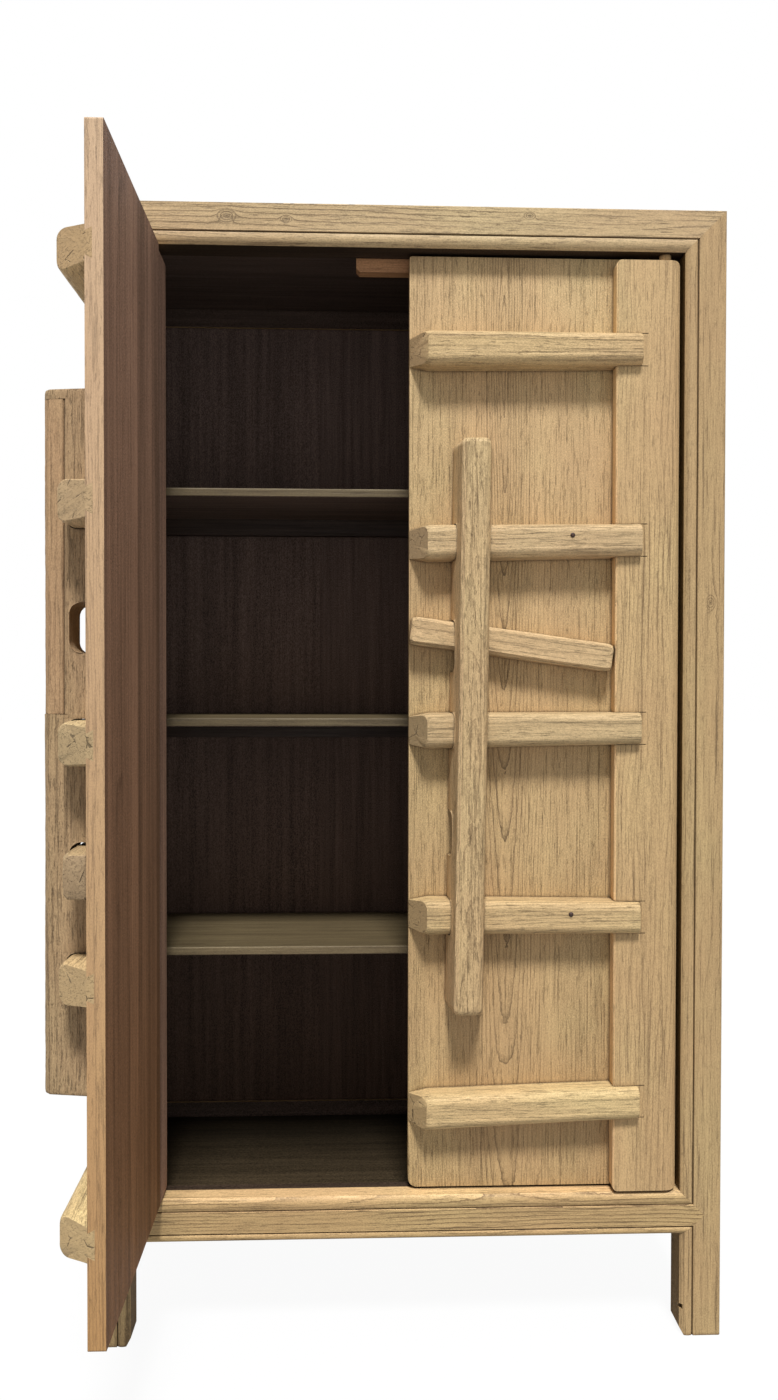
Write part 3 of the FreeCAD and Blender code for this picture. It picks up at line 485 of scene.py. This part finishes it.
inside_brown = tone(149, 119, 101)
case_brown = tone(85, 71, 63)
print("inside brown", [round(x, 3) for x in inside_brown[:3]])

# %% [markdown]
# ## The front frame
# Two posts and two rails, each worked from one stick with a bead on the inner edge.
# The exact mouldings come from the frame. These are straight, quiet boards with fine
# upright figure, so rings and marks stay faint. Each board gets its own seed and its
# own pith, because no two neighbours come from the same place in a trunk.

# %% Finish of the front frame
quiet = dict(fibre=0.24, streak=0.08, pore=0.4, cloud=0.25, grain=0.38, relief=0.5, deep=0.31, dirt_and_corner_shade=0.95,
             stain_and_shade_tone=tone(58, 47, 38), flat_only=True)
# The inner sides of the posts are darkened flat with this tone, as stain and as painted shade.
upright = dict(quiet, ring=0.7, line=0.5, dash=0.2, painted_falloff=0.12, stain_and_shade_tone=tone(108, 85, 52))
post_knots = {"left": [], "right": [(0.535, 1.31, 0.008)]}
for number, side in enumerate(("left", "right")):
    sign = 2 * number - 1
    dress(side + "_front_post", timber(
        "bleached_post_" + side, tone(180, 153, 114), "Z", 2.1 + number, pith=(sign * 0.60, 0.12),
        lean=(0.006 * sign, 0.01), stain_and_shade_sides=("+X" if side == "left" else "-X",),
        knots=post_knots[side], **upright))
rail_looks = {
    "top": dict(colour=tone(192, 167, 130), ring=1.15, line=0.6, dash=0.4, pith=(-1.9, 0.11),
                stain_and_shade_sides=("-Z",), behind=-0.021,
                knots=[(-1.976, -0.318, 0.010), (-1.972, -0.215, 0.006), (-1.985, 0.21, 0.006)]),
    # The bottom rail's upward faces are made paler, a painted highlight.
    "bottom": dict(colour=tone(184, 155, 113), ring=1.0, line=0.6, dash=0.35, pith=(-0.07, 0.11),
                   stain_and_shade_sides=("+Z",), behind=0.012, painted_light_sides=("+Z",), painted_light_by=1.5),
}
for number, level in enumerate(("top", "bottom")):
    dress("front_" + level + "_rail", timber(
        "bleached_rail_" + level, along="X", seed=5.3 + number, lean=(0.008, 0.012), painted_falloff=0.1,
        **rail_looks[level], **quiet))
print("front frame dressed")

# %% [markdown]
# ## Back and sides of the case
# The sides are panels in rails, plain and dry outside and stained dark within, like
# the back boards, top and floor. The stain is thin, so the grain still shows in it.
# It is laid on by the way each surface looks: no second set of pieces is needed.

# %% Finish of the case
case = dict(fibre=0.4, streak=0.25, cloud=0.4, grain=0.45, relief=0.4, stain_and_shade_tone=case_brown)
side_straw, hidden_straw = tone(184, 154, 114), tone(150, 121, 88)
for number, side in enumerate(("left", "right")):
    sign = 2 * number - 1
    inward = "+X" if side == "left" else "-X"
    dress(side + "_side_panel", timber(
        "side_panel_" + side, side_straw, "Z", 7.7 + number, pith=(sign * 0.64, 0.2),
        lean=(0.02, 0.025), stain_and_shade_sides=(inward,), **case))
    dress(side + "_rear_post", timber(
        "rear_post_" + side, side_straw, "Z", 11.2 + number, pith=(sign * 0.62, 0.5),
        stain_and_shade_sides=(inward, "-Y"), **dict(case, stain_and_shade_tone=tone(92, 74, 52))))
    for level in ("top", "bottom"):
        dress(side + "_side_" + level + "_rail", timber(
            "side_rail_" + side + level, side_straw, "Y", 13.4 + number, pith=(sign * 0.6, -0.3),
            stain_and_shade_sides=(inward,), **case))
for number, level in enumerate(("top", "bottom")):
    dress("rear_" + level + "_rail", timber(
        "rear_rail_" + level, side_straw, "X", 17.9 + number, pith=(-1.8 * (1 - number), 0.5),
        stain_and_shade_sides=("-Y",), **case))
# The back boards darken lower down, a painted shade.
for number, place in enumerate(("left", "middle", "right")):
    dress("back_board_" + place, timber(
        "back_board_" + place, hidden_straw, "Z", 19.1 + 1.7 * number,
        pith=(-0.36 + 0.36 * number, 0.33), stain_and_shade_sides=("-Y",), painted_falloff=1.0,
        **dict(case, stain_and_shade_tone=tone(111, 94, 87))))
dress("top_panel", timber(
    "top_boards", tone(168, 140, 104), "X", 23.5, pith=(-2.05, 0.2), stain_and_shade_sides=("-Z",), **case))
# The floor darkens towards the back, a painted shadow laid over its stain.
dress("floor_panel", timber(
    "floor_boards", hidden_straw, "X", 24.9, pith=(-0.32, 0.2), stain_and_shade_sides=("+Z",), painted_falloff=0.93,
    painted_falloff_tone=(0.1, 0.1, 0.1), painted_falloff_way=("Y", 0.06, 0.32), **dict(case, stain_and_shade_tone=tone(62, 52, 38))))
dress("floor_bearer", timber("floor_bearer", hidden_straw, "Y", 26.2, pith=(0.05, 0.3), **case))
print("case dressed")

# %% [markdown]
# ## Shelves, bearers and the stop block
# The shelves are thinner, greyer boards than the case, with an olive cast under the
# old wax, and their rounded front edges are made paler, a painted highlight. The bearers
# below them are as dark as the back. The stop block is brown, in the shade of the top rail.

# %% Finish of the shelves
shelf_look = dict(ring=0.35, fibre=0.4, streak=0.4, pore=0.3, cloud=0.3, grain=0.4, relief=0.4,
                  ring_step=0.009, warm=(1.0, 1.0, 0.9), rough=0.55)
bearer_brown = tone(66, 51, 44)
# Painted highlight: how much paler each shelf's front edge is made.
painted_edge_highlight = {"lower": 1.45, "middle": 1.0, "upper": 1.35}
for number, level in enumerate(("lower", "middle", "upper")):
    dress(level + "_shelf", timber(
        "olive_shelf_" + level, tone(99, 86, 64), "X", 31.3 + 1.9 * number,
        painted_light_sides=("-Y",), painted_light_by=painted_edge_highlight[level],
        pith=(-0.9 - 0.43 * number, 0.2), lean=(0.01, 0.03), stain_and_shade_tone=tone(98, 82, 73), stain_and_shade_sides=("-Z",),
        **shelf_look))
    dress("rear_shelf_bearer_" + level, timber(
        "rear_bearer_" + level, bearer_brown, "X", 37.4 + number, pith=(-0.9, 0.5), **shelf_look))
    for side in ("left", "right"):
        dress(side + "_shelf_bearer_" + level, timber(
            side + "_bearer_" + level, bearer_brown, "Y", 41.4 + number, pith=(0.6, 0.5), **shelf_look))
dress("door_stop_block", timber(
    "stop_block", tone(206, 154, 114), "X", 45.5, pith=(-1.9, 0.2), **shelf_look))
print("shelves dressed")

# %% [markdown]
# ## Planks and stiles
# The planks are the showpiece: broad, flat-sawn boards whose winter lines rise in
# long arches and were brushed out until they stand proud. The pith lies close behind
# the board and leans a little, which is what makes arches instead of plain stripes.
# The stile is a thick, quieter stick with straight grain. Inside, both are stained
# a reddish brown.

# %% Finish of the doors
inside = dict(stain_and_shade_tone=inside_brown, stain_band=0.34, stain_speckle=0.42)
bold = dict(inside, ring=1.0, fibre=0.16, streak=0.05, dash=0.12, band=0.1, pore=0.4, cloud=0.3, grain=0.45,
            relief=0.9, ring_step=0.0046, ring_low=0.05, deep=0.26, dirt_and_corner_shade=0.75)
calm = dict(inside, ring=0.55, fibre=0.24, streak=0.08, line=0.45, dash=0.12, band=0.08, pore=0.45,
            cloud=0.3, grain=0.4, relief=0.6, ring_step=0.005, deep=0.4, dirt_and_corner_shade=0.7)
# The planks and stiles darken lower down by a painted falloff, a painted shade.
dress("right_door_plank", timber(
    "right_plank", tone(206, 177, 135), "Z", 51.3, pith=(0.185, 0.085), lean=(0.008, -0.045),
    stain_and_shade_sides=("+Y",), painted_falloff=0.58, focus=(0.178, 0.06), knots=[(0.235, 1.075, 0.012)], wander=0.03, **bold))
dress("left_door_plank", timber(
    "left_plank", tone(201, 171, 131), "Z", 53.9, pith=(-0.78, -0.37), lean=(0.012, 0.01),
    stain_and_shade_sides=("+X",), painted_falloff=0.95, painted_falloff_tone=(0.7, 0.56, 0.34), wander=0.02,
    plain=("-Y",), plain_share=0.5, plain_tone=tone(202, 172, 146), **bold))
# The right stile's left side is made paler, a painted highlight.
dress("right_door_hinge_stile", timber(
    "right_stile", tone(196, 167, 126), "Z", 55.1, pith=(0.52, 0.1), lean=(0.01, 0.012),
    stain_and_shade_sides=("+Y",), painted_falloff=0.3, painted_light_sides=("-X",), painted_light_by=1.7, **calm))
dress("left_door_hinge_stile", timber(
    "left_stile", tone(196, 165, 124), "Z", 57.7, pith=(-0.36, 0.05), lean=(0.01, 0.012),
    stain_and_shade_sides=("+X",), painted_falloff=0.15, **calm))
print("doors dressed")

# %% [markdown]
# ## Battens
# Each batten is a split pole, hewn flat in front with its corners rounded off, and let
# into the plank by a sliding dovetail. Its free end was chopped back at a slant. A
# section that follows the length gives it directly: two sides, two quarter circles
# and a flat face, with the dovetail behind. Each point of the first ring starts as far
# back as it stands out, so the chopped end is one clean slanting face.

# %% Batten section
batten_rise, batten_corner, batten_slant = 46 * mm, 16 * mm, 31 * mm
hewn_run, height_free, height_full, height_hinge = 35 * mm, 50 * mm, 63 * mm, 57 * mm
levels = {"upper": 1750.92 * mm, "high": 1412.22 * mm, "middle": 1082.15 * mm, "low": 755.26 * mm,
          "lower": 408.11 * mm}
rises = {"upper": 3.4 * mm, "high": 7.5 * mm, "middle": 5.2 * mm, "low": -3.4 * mm, "lower": 14.8 * mm}
batten_cuts = ((1.3 * mm, 0.13, 0.03), (0.5 * mm, 0.02, 0.009))
tail_depth, tail_waist, tail_flare = 10 * mm, 9 * mm, 5 * mm


def batten_height(x):
    """Height grows from the chopped end to its full size over hewn_run, then tapers."""
    reach = (x - meeting_edge - hewn_run) / (batten_end - meeting_edge - hewn_run)
    swelling = height_free + (height_full - height_free) * (x - meeting_edge) / hewn_run
    return np.where(reach < 0, swelling, height_full + (height_hinge - height_full) * reach)


def front_out(height, offset):
    """How far the front stands out at an offset from the middle line: flat, and over
    the last bit before each side a quarter circle, rise - r + sqrt(r * r - b * b)."""
    beyond = np.clip(np.abs(offset) - (height / 2 - batten_corner), 0, batten_corner)
    return batten_rise - batten_corner + np.sqrt(batten_corner**2 - beyond**2)


def batten_middle(name, x):
    """The middle line climbs by its own rise from the meeting edge to the stile."""
    return levels[name] + rises[name] * (x - meeting_edge) / (batten_end - meeting_edge)


def batten_rings(side, name, seed):
    """Rings along the batten, and the middle of its first ring. The section runs over a
    side, a quarter circle, the flat face and back, then round the dovetail behind.
    Its x starts at the meeting edge plus slant * out / rise."""
    first, last = [0, 0.004, 0.012], [0.99, 0.9965, 1]
    stations = np.concatenate([first, np.linspace(0.03, 0.97, 84), last])
    draw_in = np.ones(len(stations))
    draw_in[[0, -1]] = 0.972
    draw_in[[1, -2]] = 0.992
    angle = np.linspace(0, math.pi / 2, 8)
    side_out = np.linspace(0, batten_rise - batten_corner, 6)[:-1]
    flat = np.linspace(-1, 1, 15)[1:-1]
    from_edge = np.concatenate([0 * side_out, batten_corner * (1 - np.cos(angle))])
    half_out = np.concatenate([side_out, batten_rise - batten_corner * (1 - np.sin(angle))])
    worn_share = np.concatenate([side_out / batten_rise, 0.6 + 0 * angle])

    def around(edge_values, flat_values, turn):
        return np.concatenate([edge_values, flat_values, turn * edge_values[::-1]])

    sign = around(-1 + 0 * from_edge, 0 * flat, -1)
    out = around(half_out, batten_rise + 0 * flat, 1)[None] * draw_in[:, None]
    first_x = meeting_edge + batten_slant * out[0] / batten_rise
    x = first_x[None] + (batten_end - first_x[None]) * stations[:, None]
    height = batten_height(x)
    inset = around(from_edge, 0 * flat, 1)[None]
    flat_half = height / 2 - batten_corner
    up_flat = around(0 * from_edge, flat, 1)[None] * flat_half
    up = np.where(sign[None] == 0, up_flat, sign * (height / 2 - inset))
    path = np.cumsum(np.hypot(np.gradient(up[40]), np.gradient(out[40])))[None]
    worn = wear(x, path, batten_cuts, seed) * around(worn_share, 1 + 0 * flat, 1)[None]
    up = up * draw_in[:, None] - sign * worn
    out = out - np.where(stations[:, None] == 0, 0, worn * np.clip(out / batten_rise, 0, 1))
    neck = height[:, [0]] / 2 - tail_waist
    foot = neck + tail_flare
    back_up = np.concatenate([neck, foot, -foot, -neck], 1)
    back_out = np.tile([0, -tail_depth, -tail_depth, 0], (len(stations), 1))
    back_x = np.repeat(x[:, [0]], 4, axis=1)
    middle = place_on_door(side, meeting_edge, 0.0, levels[name])
    whole_x = np.concatenate([x, back_x], 1)
    rings = place_on_door(
        side, whole_x, np.concatenate([out, back_out], 1),
        batten_middle(name, whole_x) + np.concatenate([up, back_up], 1))
    return rings, middle


# %% Make the ten battens
hewn = dict(fibre=0.26, streak=0.06, line=0.38, dash=0.14, pore=0.45, crack=0.3, cloud=0.25,
            ring_step=0.006, dirt_and_corner_shade=0.95)
batten_look = dict(hewn, ring=0.55, pit=0.22, grain=0.45, relief=1.0, deep=0.38, rough=0.66,
                   plain_share=0.85, plain_by=0.7, check=0.8)
batten_tones = {"upper": (198, 169, 128), "high": (199, 173, 135), "middle": (193, 170, 131),
                "low": (197, 171, 129), "lower": (202, 176, 132)}
for side, axis, first_seed, first_cut in (("right", "X", 61.1, 100), ("left", "Y", 70.1, 150)):
    for number, name in enumerate(levels):
        pith = (-levels[name] - 0.35, 0.16) if axis == "X" else (-0.70, -levels[name] - 0.30)
        finish = timber(
            side + "_batten_" + name, tone(*batten_tones[name]), axis, first_seed + number * 1.3,
            pith=pith, plain=("+" + axis, "-" + axis), **batten_look)
        rings, middle = batten_rings(side, name, first_cut + number * 7)
        stick(side + "_hewn_batten_" + name, rings, side + "_door", side + "_door_batten_" + name,
              finish, first_middle=middle)

# %% [markdown]
# ## Keepers
# A keeper is one upright stick, hollowed behind where it rides over the battens and
# where the bars pass. Cutting those notches with booleans would leave ragged faces.
# Instead the back of each ring is pushed out to the depth that the notch has at its
# height, so the notches are part of the surface itself: a batten's notch follows the
# front of the batten, and a bar's notch is a box with a rounded bottom.

# %% Keeper section
keeper_out, keeper_cheek, keeper_step = 80 * mm, 17 * mm, 6 * mm
keeper_back_half, keeper_face_half, keeper_ease = 34 * mm, 25 * mm, 1.1 * mm
keeper_crossing, old_arris = 107 * mm, 1.6 * mm
keeper_core, keeper_radius, whole_wear_out = 40 * mm, 30 * mm, 76 * mm
free_run, unworn_out = 6 * mm, 30 * mm
keeper_cuts = ((1.5 * mm, 0.16, 0.04), (0.5 * mm, 0.03, 0.009), (0.4 * mm, 0.007, 0.004))
inner_battens = ("high", "middle", "low")
keeper_ends = {side: [corner.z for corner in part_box(side + "_door_keeper")] for side in ("right", "left")}
centre_foot, centre_head = 101 * mm, 114 * mm
tips = {"right": (12 * mm, 0.76), "left": (7 * mm, 0.94)}
bar_notches = {
    "right": ((1186.0 * mm, 1277.8 * mm), (862.0 * mm, 942.0 * mm)),
    "left": ((1208.1 * mm, 1279.8 * mm), (862.0 * mm, 942.0 * mm)),
}


def bar_notch(z, foot, head, depth=42 * mm, radius=17 * mm):
    """Depth of a bar's notch: full depth, less the corner of a circle near its ends."""
    inside = np.minimum(z - foot, head - z)
    corner = radius - np.clip(inside, 0, radius)
    return np.where(inside > 0, depth - radius + np.sqrt(radius**2 - corner**2), 0)


def back_depth(z, side):
    """Depth of the deepest notch at each height, over the three inner battens and bars.
    The notches for battens are cut larger by keeper_ease, which leaves a dark line."""
    depth = np.zeros_like(z)
    height = batten_height(keeper_crossing) + 2 * keeper_ease
    for name in inner_battens:
        offset = z - batten_middle(name, keeper_crossing)
        front = front_out(height, offset) + keeper_ease
        depth = np.maximum(depth, np.where(np.abs(offset) < height / 2, front, 0))
    for foot, head in bar_notches[side]:
        depth = np.maximum(depth, bar_notch(z, foot, head))
    return depth


def keeper_stations(side, extra=()):
    """Heights of the rings: even steps, and a close pair at each edge of a notch."""
    keeper_foot, keeper_head = keeper_ends[side]
    z = [np.linspace(keeper_foot, keeper_head, 230)]
    half = float(batten_height(keeper_crossing)) / 2 + keeper_ease
    edges = [batten_middle(name, keeper_crossing) + s * half for name in inner_battens for s in (-1, 1)]
    edges += [edge for notch in bar_notches[side] for edge in notch]
    edges += list(extra)
    pairs = np.array(edges)[:, None] + np.array([-0.06, 0.06]) * mm
    tip = tips[side][0] * np.array([0.04, 0.15, 0.35, 0.65, 1.0])
    return np.sort(np.concatenate(z + [pairs.ravel(), keeper_foot + tip, keeper_head - tip]))


def keeper_rings(side, z, back, front_limit, seed, pinch=0.0):
    """Rings of a keeper: the cheek is upright, then slopes in to the face, which has a
    small step at each side. back and front_limit cut the section at those depths, and
    pinch rounds the arris there. Over the tip it grows like a quarter circle,
    share + (1 - share) * sqrt(1 - (1 - t)^2)."""
    tip, tip_share = tips[side]
    keeper_foot, keeper_head = keeper_ends[side]
    near_end = np.clip(np.minimum(z - keeper_foot, keeper_head - z) / tip, 0, 1)
    share = tip_share + (1 - tip_share) * np.sqrt(1 - (1 - near_end)**2)
    back_half, face_half = keeper_back_half * share, keeper_face_half * share
    full_out = keeper_out * (1 + share) / 2

    def half_at(out):
        slope = np.clip((out - keeper_cheek) / (full_out - keeper_step - keeper_cheek), 0, 1)
        return back_half + (face_half - back_half) * slope

    whole = front_limit >= full_out - 0.5 * mm
    side_out = np.where(whole, full_out - keeper_step, front_limit - old_arris)
    face_out = np.where(whole, full_out, front_limit)
    face_side = np.where(whole, face_half - keeper_step, half_at(front_limit) - old_arris)
    cheek_out = np.clip(np.full_like(z, keeper_cheek), back + pinch, side_out)
    points = [
        (-half_at(back) + pinch, back), (-half_at(cheek_out), cheek_out), (-half_at(side_out), side_out),
        (-face_side, face_out), (face_side, face_out), (half_at(side_out), side_out),
        (half_at(cheek_out), cheek_out), (half_at(back) - pinch, back),
    ]
    corners = np.stack([np.stack(point, -1) for point in points], axis=1)
    ring = ring_from_corners(corners, (3, 9, 3, 14, 3, 9, 3, 6))
    across, out = ring[..., 0], ring[..., 1]
    around = np.arctan2(across, out - keeper_core) * keeper_radius
    height = np.broadcast_to(z[:, None], across.shape)
    worn = wear(height, around, keeper_cuts, seed)
    free = np.clip((out - back[:, None]) / free_run, 0, 1)
    if not whole.all():
        free = free * np.where(whole[:, None], 1, np.clip((face_out[:, None] - out) / free_run, 0, 1))
    out = out - worn * free * np.clip((out - unworn_out) / (whole_wear_out - unworn_out), 0, 1)
    across = across - np.sign(across) * np.minimum(worn, np.abs(across)) * free * 0.7
    centre = centre_foot + (centre_head - centre_foot) * (z - keeper_foot) / (keeper_head - keeper_foot)
    return place_on_door(side, centre[:, None] + across, out, height)


# %% Make the keepers
keeper_look = dict(ring=0.4, fibre=0.3, streak=0.08, grain=0.48, line=0.38, dash=0.25, pore=0.6, crack=0.4,
                   pit=0.5, cloud=0.25, relief=1.0, dirt_and_corner_shade=0.95, rough=0.7, deep=0.5)
uncut = 1.0
right_z = keeper_stations("right")
# The right keeper's left flank is made paler, a painted highlight; painted_falloff darkens it lower down, a
# painted shade.
stick("right_hewn_keeper", keeper_rings(
    "right", right_z, back_depth(right_z, "right"), np.full_like(right_z, uncut), 301),
    "right_door", "right_door_keeper",
    timber("right_keeper", tone(199, 172, 133), "Z", 81.7, pith=(0.12, 0.02), painted_falloff=0.3,
           painted_light_sides=("-X",), painted_light_by=1.45, **keeper_look))

# %% [markdown]
# ## The mended left keeper
# The outer half of the left keeper once split away, and a new strip was nailed over
# it. The strip is the same section, cut behind at the depth where the old wood
# begins, and the old keeper is the section cut in front at that depth. Two calls of
# the same function make both, and they meet exactly.

# %% Left keeper and its strip
strip_foot, strip_head = (corner.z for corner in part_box("left_door_keeper_strip"))
strip_behind, strip_arris = 49 * mm, 3 * mm
left_z = keeper_stations("left", (strip_foot, strip_head))
in_strip = (left_z > strip_foot) & (left_z < strip_head)
stick("left_hewn_keeper", keeper_rings(
    "left", left_z, back_depth(left_z, "left"), np.where(in_strip, strip_behind, uncut), 331),
    "left_door", "left_door_keeper",
    timber("left_keeper", tone(166, 140, 109), "Z", 84.3, pith=(-0.5, -0.32), painted_falloff=0.15, **keeper_look))
strip_z = left_z[in_strip]
stick("left_hewn_keeper_strip", keeper_rings(
    "left", strip_z, np.full_like(strip_z, strip_behind), np.full_like(strip_z, uncut), 361, strip_arris),
    "left_door", "left_door_keeper_strip",
    timber("keeper_strip", tone(171, 141, 109), "Z", 88.8, pith=(-0.5, -0.36),
           **dict(keeper_look, ring=0.2, line=0.25, crack=0.0, pit=0.1, dash=0.08, pore=0.3)))

# %% [markdown]
# ## The two bars
# Each bar is a flat stick, chamfered in front, that has slid to and fro for years.
# The upper one lies askew in its keeper. It is worked out straight, then turned about
# its left end by plain trigonometry on the whole array. The lower one is thicker at
# the meeting edge, where it was left round and rough as it was split.

# %% Bar rings
bar_out, bar_step, bar_lift = 36 * mm, 6 * mm, 0.2 * mm
bar_core, bar_radius = 15 * mm, 25 * mm
bar_cuts = ((1.5 * mm, 0.07, 0.02), (0.7 * mm, 0.014, 0.006))


def bar_rings(length, height_first, height_last, seed, blunt):
    """Offsets along, up and out of the plank. The section is a block with two chamfers,
    and its size falls off near each end as the root of the distance to it. The back
    stays a hair off the plank, on which the bar slides."""
    first, last = [0, 0.002, 0.006, 0.012, 0.02], [0.98, 0.99, 0.996, 1]
    s = np.concatenate([first, np.linspace(0.035, 0.965, 56), last])
    run = s * length
    near = np.minimum(run / blunt[0], (length - run) / blunt[1])
    size = 0.86 + 0.14 * np.sqrt(np.clip(near, 0, 1))
    half = (height_first + (height_last - height_first) * s) / 2 * size
    out = bar_out * size
    behind = np.full_like(s, bar_lift)
    points = [(-half, behind), (-half, out - bar_step), (-half + bar_step, out),
              (half - bar_step, out), (half, out - bar_step), (half, behind)]
    ring = ring_from_corners(np.stack([np.stack(p, -1) for p in points], 1), (7, 4, 16, 4, 7, 5))
    up, depth = ring[..., 0], ring[..., 1]
    around = np.arctan2(up, depth - bar_core) * bar_radius
    worn = wear(run[:, None], around, bar_cuts, seed)
    free = np.clip(depth / (8 * mm), 0, 1)
    up = up - np.sign(up) * np.minimum(worn, np.abs(up)) * free * (np.abs(up) > 12 * mm)
    depth = depth - worn * free
    return np.broadcast_to(run[:, None], up.shape), up, depth


# %% Make the bars
bar_look = dict(hewn, ring=0.5, pit=0.2, grain=0.42, relief=0.9, deep=0.4, rough=0.64, lean=(0.02, 0.02))
tilt = math.radians(7.8)
upper_left, upper_level = 3 * mm, 1260.06 * mm
run, up, depth = bar_rings(357 * mm / math.cos(tilt), 50 * mm, 50 * mm, 401, (10 * mm, 10 * mm))
stick("upper_hewn_bar", place_on_door(
    "right", upper_left + run * math.cos(tilt) + up * math.sin(tilt), depth,
    upper_level - run * math.sin(tilt) + up * math.cos(tilt)),
    "upper_bar", "upper_sliding_bar",
    timber("upper_bar_wood", tone(204, 177, 137), "X", 91.3, pith=(-1.2, 0.1), turn=-tilt, **bar_look))
lower_start, lower_level = 4 * mm, 905.0 * mm
run, up, depth = bar_rings(352 * mm, 68 * mm, 60 * mm, 431, (16 * mm, 10 * mm))
stick("lower_hewn_bar", place_on_door("left", lower_start + run, depth, lower_level + up),
      "lower_bar", "lower_sliding_bar",
      timber("lower_bar_wood", tone(172, 146, 112), "Y", 94.9, pith=(-0.45, -0.9),
             plain=("+Y", "-Y"), plain_share=0.7, plain_tone=tone(142, 119, 92), check=0.9, **bar_look))

# %% [markdown]
# ## Nails
# The nails are hand-forged and black, with a little rust in the hollows of the head.
# Their heads are a few millimetres wide, so the shape from the frame is enough, and
# the finish does the rest: noise moves it between scale and rust.

# %% Finish of the nails
iron, tree = bare_material("forged_iron")
scale = add(tree, "ShaderNodeTexNoise", {
    "Vector": add(tree, "ShaderNodeTexCoord").outputs["Object"], "Scale": 900.0, "Detail": 4.0})
rust = spread(tree, scale.outputs[0], 0.45, 0.62)
colour = blend(tree, rust, tone(52, 47, 46), tone(92, 62, 46))
bump = add(tree, "ShaderNodeBump", {"Height": scale.outputs[0], "Strength": 0.5, "Distance": 0.0004})
wire_out(tree, add(tree, "ShaderNodeBsdfPrincipled", {
    "Base Color": colour, "Metallic": 0.6, "Roughness": spread(tree, rust, 0, 1, 0.5, 0.8),
    "Normal": bump.outputs[0],
}))
for node in ("left_door_nails", "right_door_nails"):
    dress(node, iron)
print("nails dressed")

# %% [markdown]
# ## Floor and light
# The cupboard stands on a white floor before a white wall of light. Only camera and
# mirror rays see that white, so it doesn't wash out the wood, while the floor's dull
# part still takes the shadow. That part is a middle grey: it throws little light back,
# so the shadows below the battens stay deep. One broad sun stands high in front and a
# little to the right, and the rest is even sky light.

# %% Floor
def seen_white(tree):
    """1 for camera, mirror and glass rays, which see pure white, and 0 for the rest."""
    rays = add(tree, "ShaderNodeLightPath").outputs
    seen = calc(tree, "MAXIMUM", rays["Is Camera Ray"], rays["Is Glossy Ray"])
    return calc(tree, "MAXIMUM", seen, rays["Is Transmission Ray"])


floor_mesh = bpy.data.meshes.new("white_floor")
floor_corners = [(30.0 * x, 30.0 * y, 0) for x, y in ((-1, -1), (1, -1), (1, 1), (-1, 1))]
floor_mesh.from_pydata(floor_corners, [], [(0, 1, 2, 3)])
floor = bpy.data.objects.new("white_floor", floor_mesh)
bpy.context.scene.collection.objects.link(floor)
paper, tree = bare_material("white_floor")
grain = add(tree, "ShaderNodeTexNoise", {
    "Vector": add(tree, "ShaderNodeTexCoord").outputs["Object"], "Scale": 3.0})
dull = add(tree, "ShaderNodeBsdfDiffuse", {
    "Color": blend(tree, grain.outputs[0], (0.38, 0.38, 0.38, 1), (0.41, 0.41, 0.41, 1))})
white = add(tree, "ShaderNodeEmission", {"Color": (1, 1, 1, 1), "Strength": 1.05})
white_share = calc(tree, "MULTIPLY", seen_white(tree), 0.9)
wire_out(tree, add(tree, "ShaderNodeMixShader", {0: white_share, 1: dull.outputs[0], 2: white.outputs[0]}))
floor_mesh.materials.append(paper)
print("floor laid")

# %% Light
world = bpy.data.worlds.new("studio")
bpy.context.scene.world = world
world.use_nodes = True
tree = world.node_tree
tree.nodes.clear()
sky = add(tree, "ShaderNodeBackground", {
    "Color": (1, 1, 1, 1), "Strength": spread(tree, seen_white(tree), 0, 1, 0.43, 1.0)})
wire_out(tree, sky, "ShaderNodeOutputWorld")

sun_data = bpy.data.lights.new("high_sun", "SUN")
sun_data.energy = 4.3
sun_data.angle = math.radians(11)
sun = bpy.data.objects.new("high_sun", sun_data)
sun_rise, sun_side = math.radians(60), math.radians(2)
sun_from = Vector((
    math.sin(sun_side) * math.cos(sun_rise), -math.cos(sun_side) * math.cos(sun_rise), math.sin(sun_rise)))
sun.rotation_mode = "QUATERNION"
sun.rotation_quaternion = sun_from.to_track_quat("Z", "Y")
bpy.context.scene.collection.objects.link(sun)
print("sun from", [round(x, 2) for x in sun_from])

# %% [markdown]
# ## The camera
# The view was worked out by fitting the measured corners of the cupboard to the
# picture: a wide lens less than two metres away, a little left of the middle and at
# chest height, turned slightly to the right. The three turns are kept as one matrix,
# whose columns are the camera's right, up and backward directions.

# %% Camera
camera_data = bpy.data.cameras.new("camera")
camera_data.sensor_width = 36.0
camera_data.lens = 27.287
camera = bpy.data.objects.new("camera", camera_data)
bpy.context.scene.collection.objects.link(camera)
yaw, pitch, roll = 0.0360, -0.0159, 0.0017
ahead = Vector((math.sin(yaw) * math.cos(pitch), math.cos(yaw) * math.cos(pitch), math.sin(pitch)))
level_right = Vector((math.cos(yaw), -math.sin(yaw), 0))
level_up = level_right.cross(ahead)
right = level_right * math.cos(roll) + level_up * math.sin(roll)
upward = level_up * math.cos(roll) - level_right * math.sin(roll)
turn = Matrix((right, upward, -ahead)).transposed()
camera_place = (-0.10199, -1.88574, 1.16647)
camera.matrix_world = Matrix.Translation(camera_place) @ turn.to_4x4()
bpy.context.scene.camera = camera
bpy.context.scene.view_settings.view_transform = "Standard"
print("camera at", [round(x, 3) for x in camera.matrix_world.translation])

# %% [markdown]
# The dressed cupboard must not grow past the measured one. At the end the view layer
# is brought up to date.

# %% Update the view layer
bpy.context.view_layer.update()
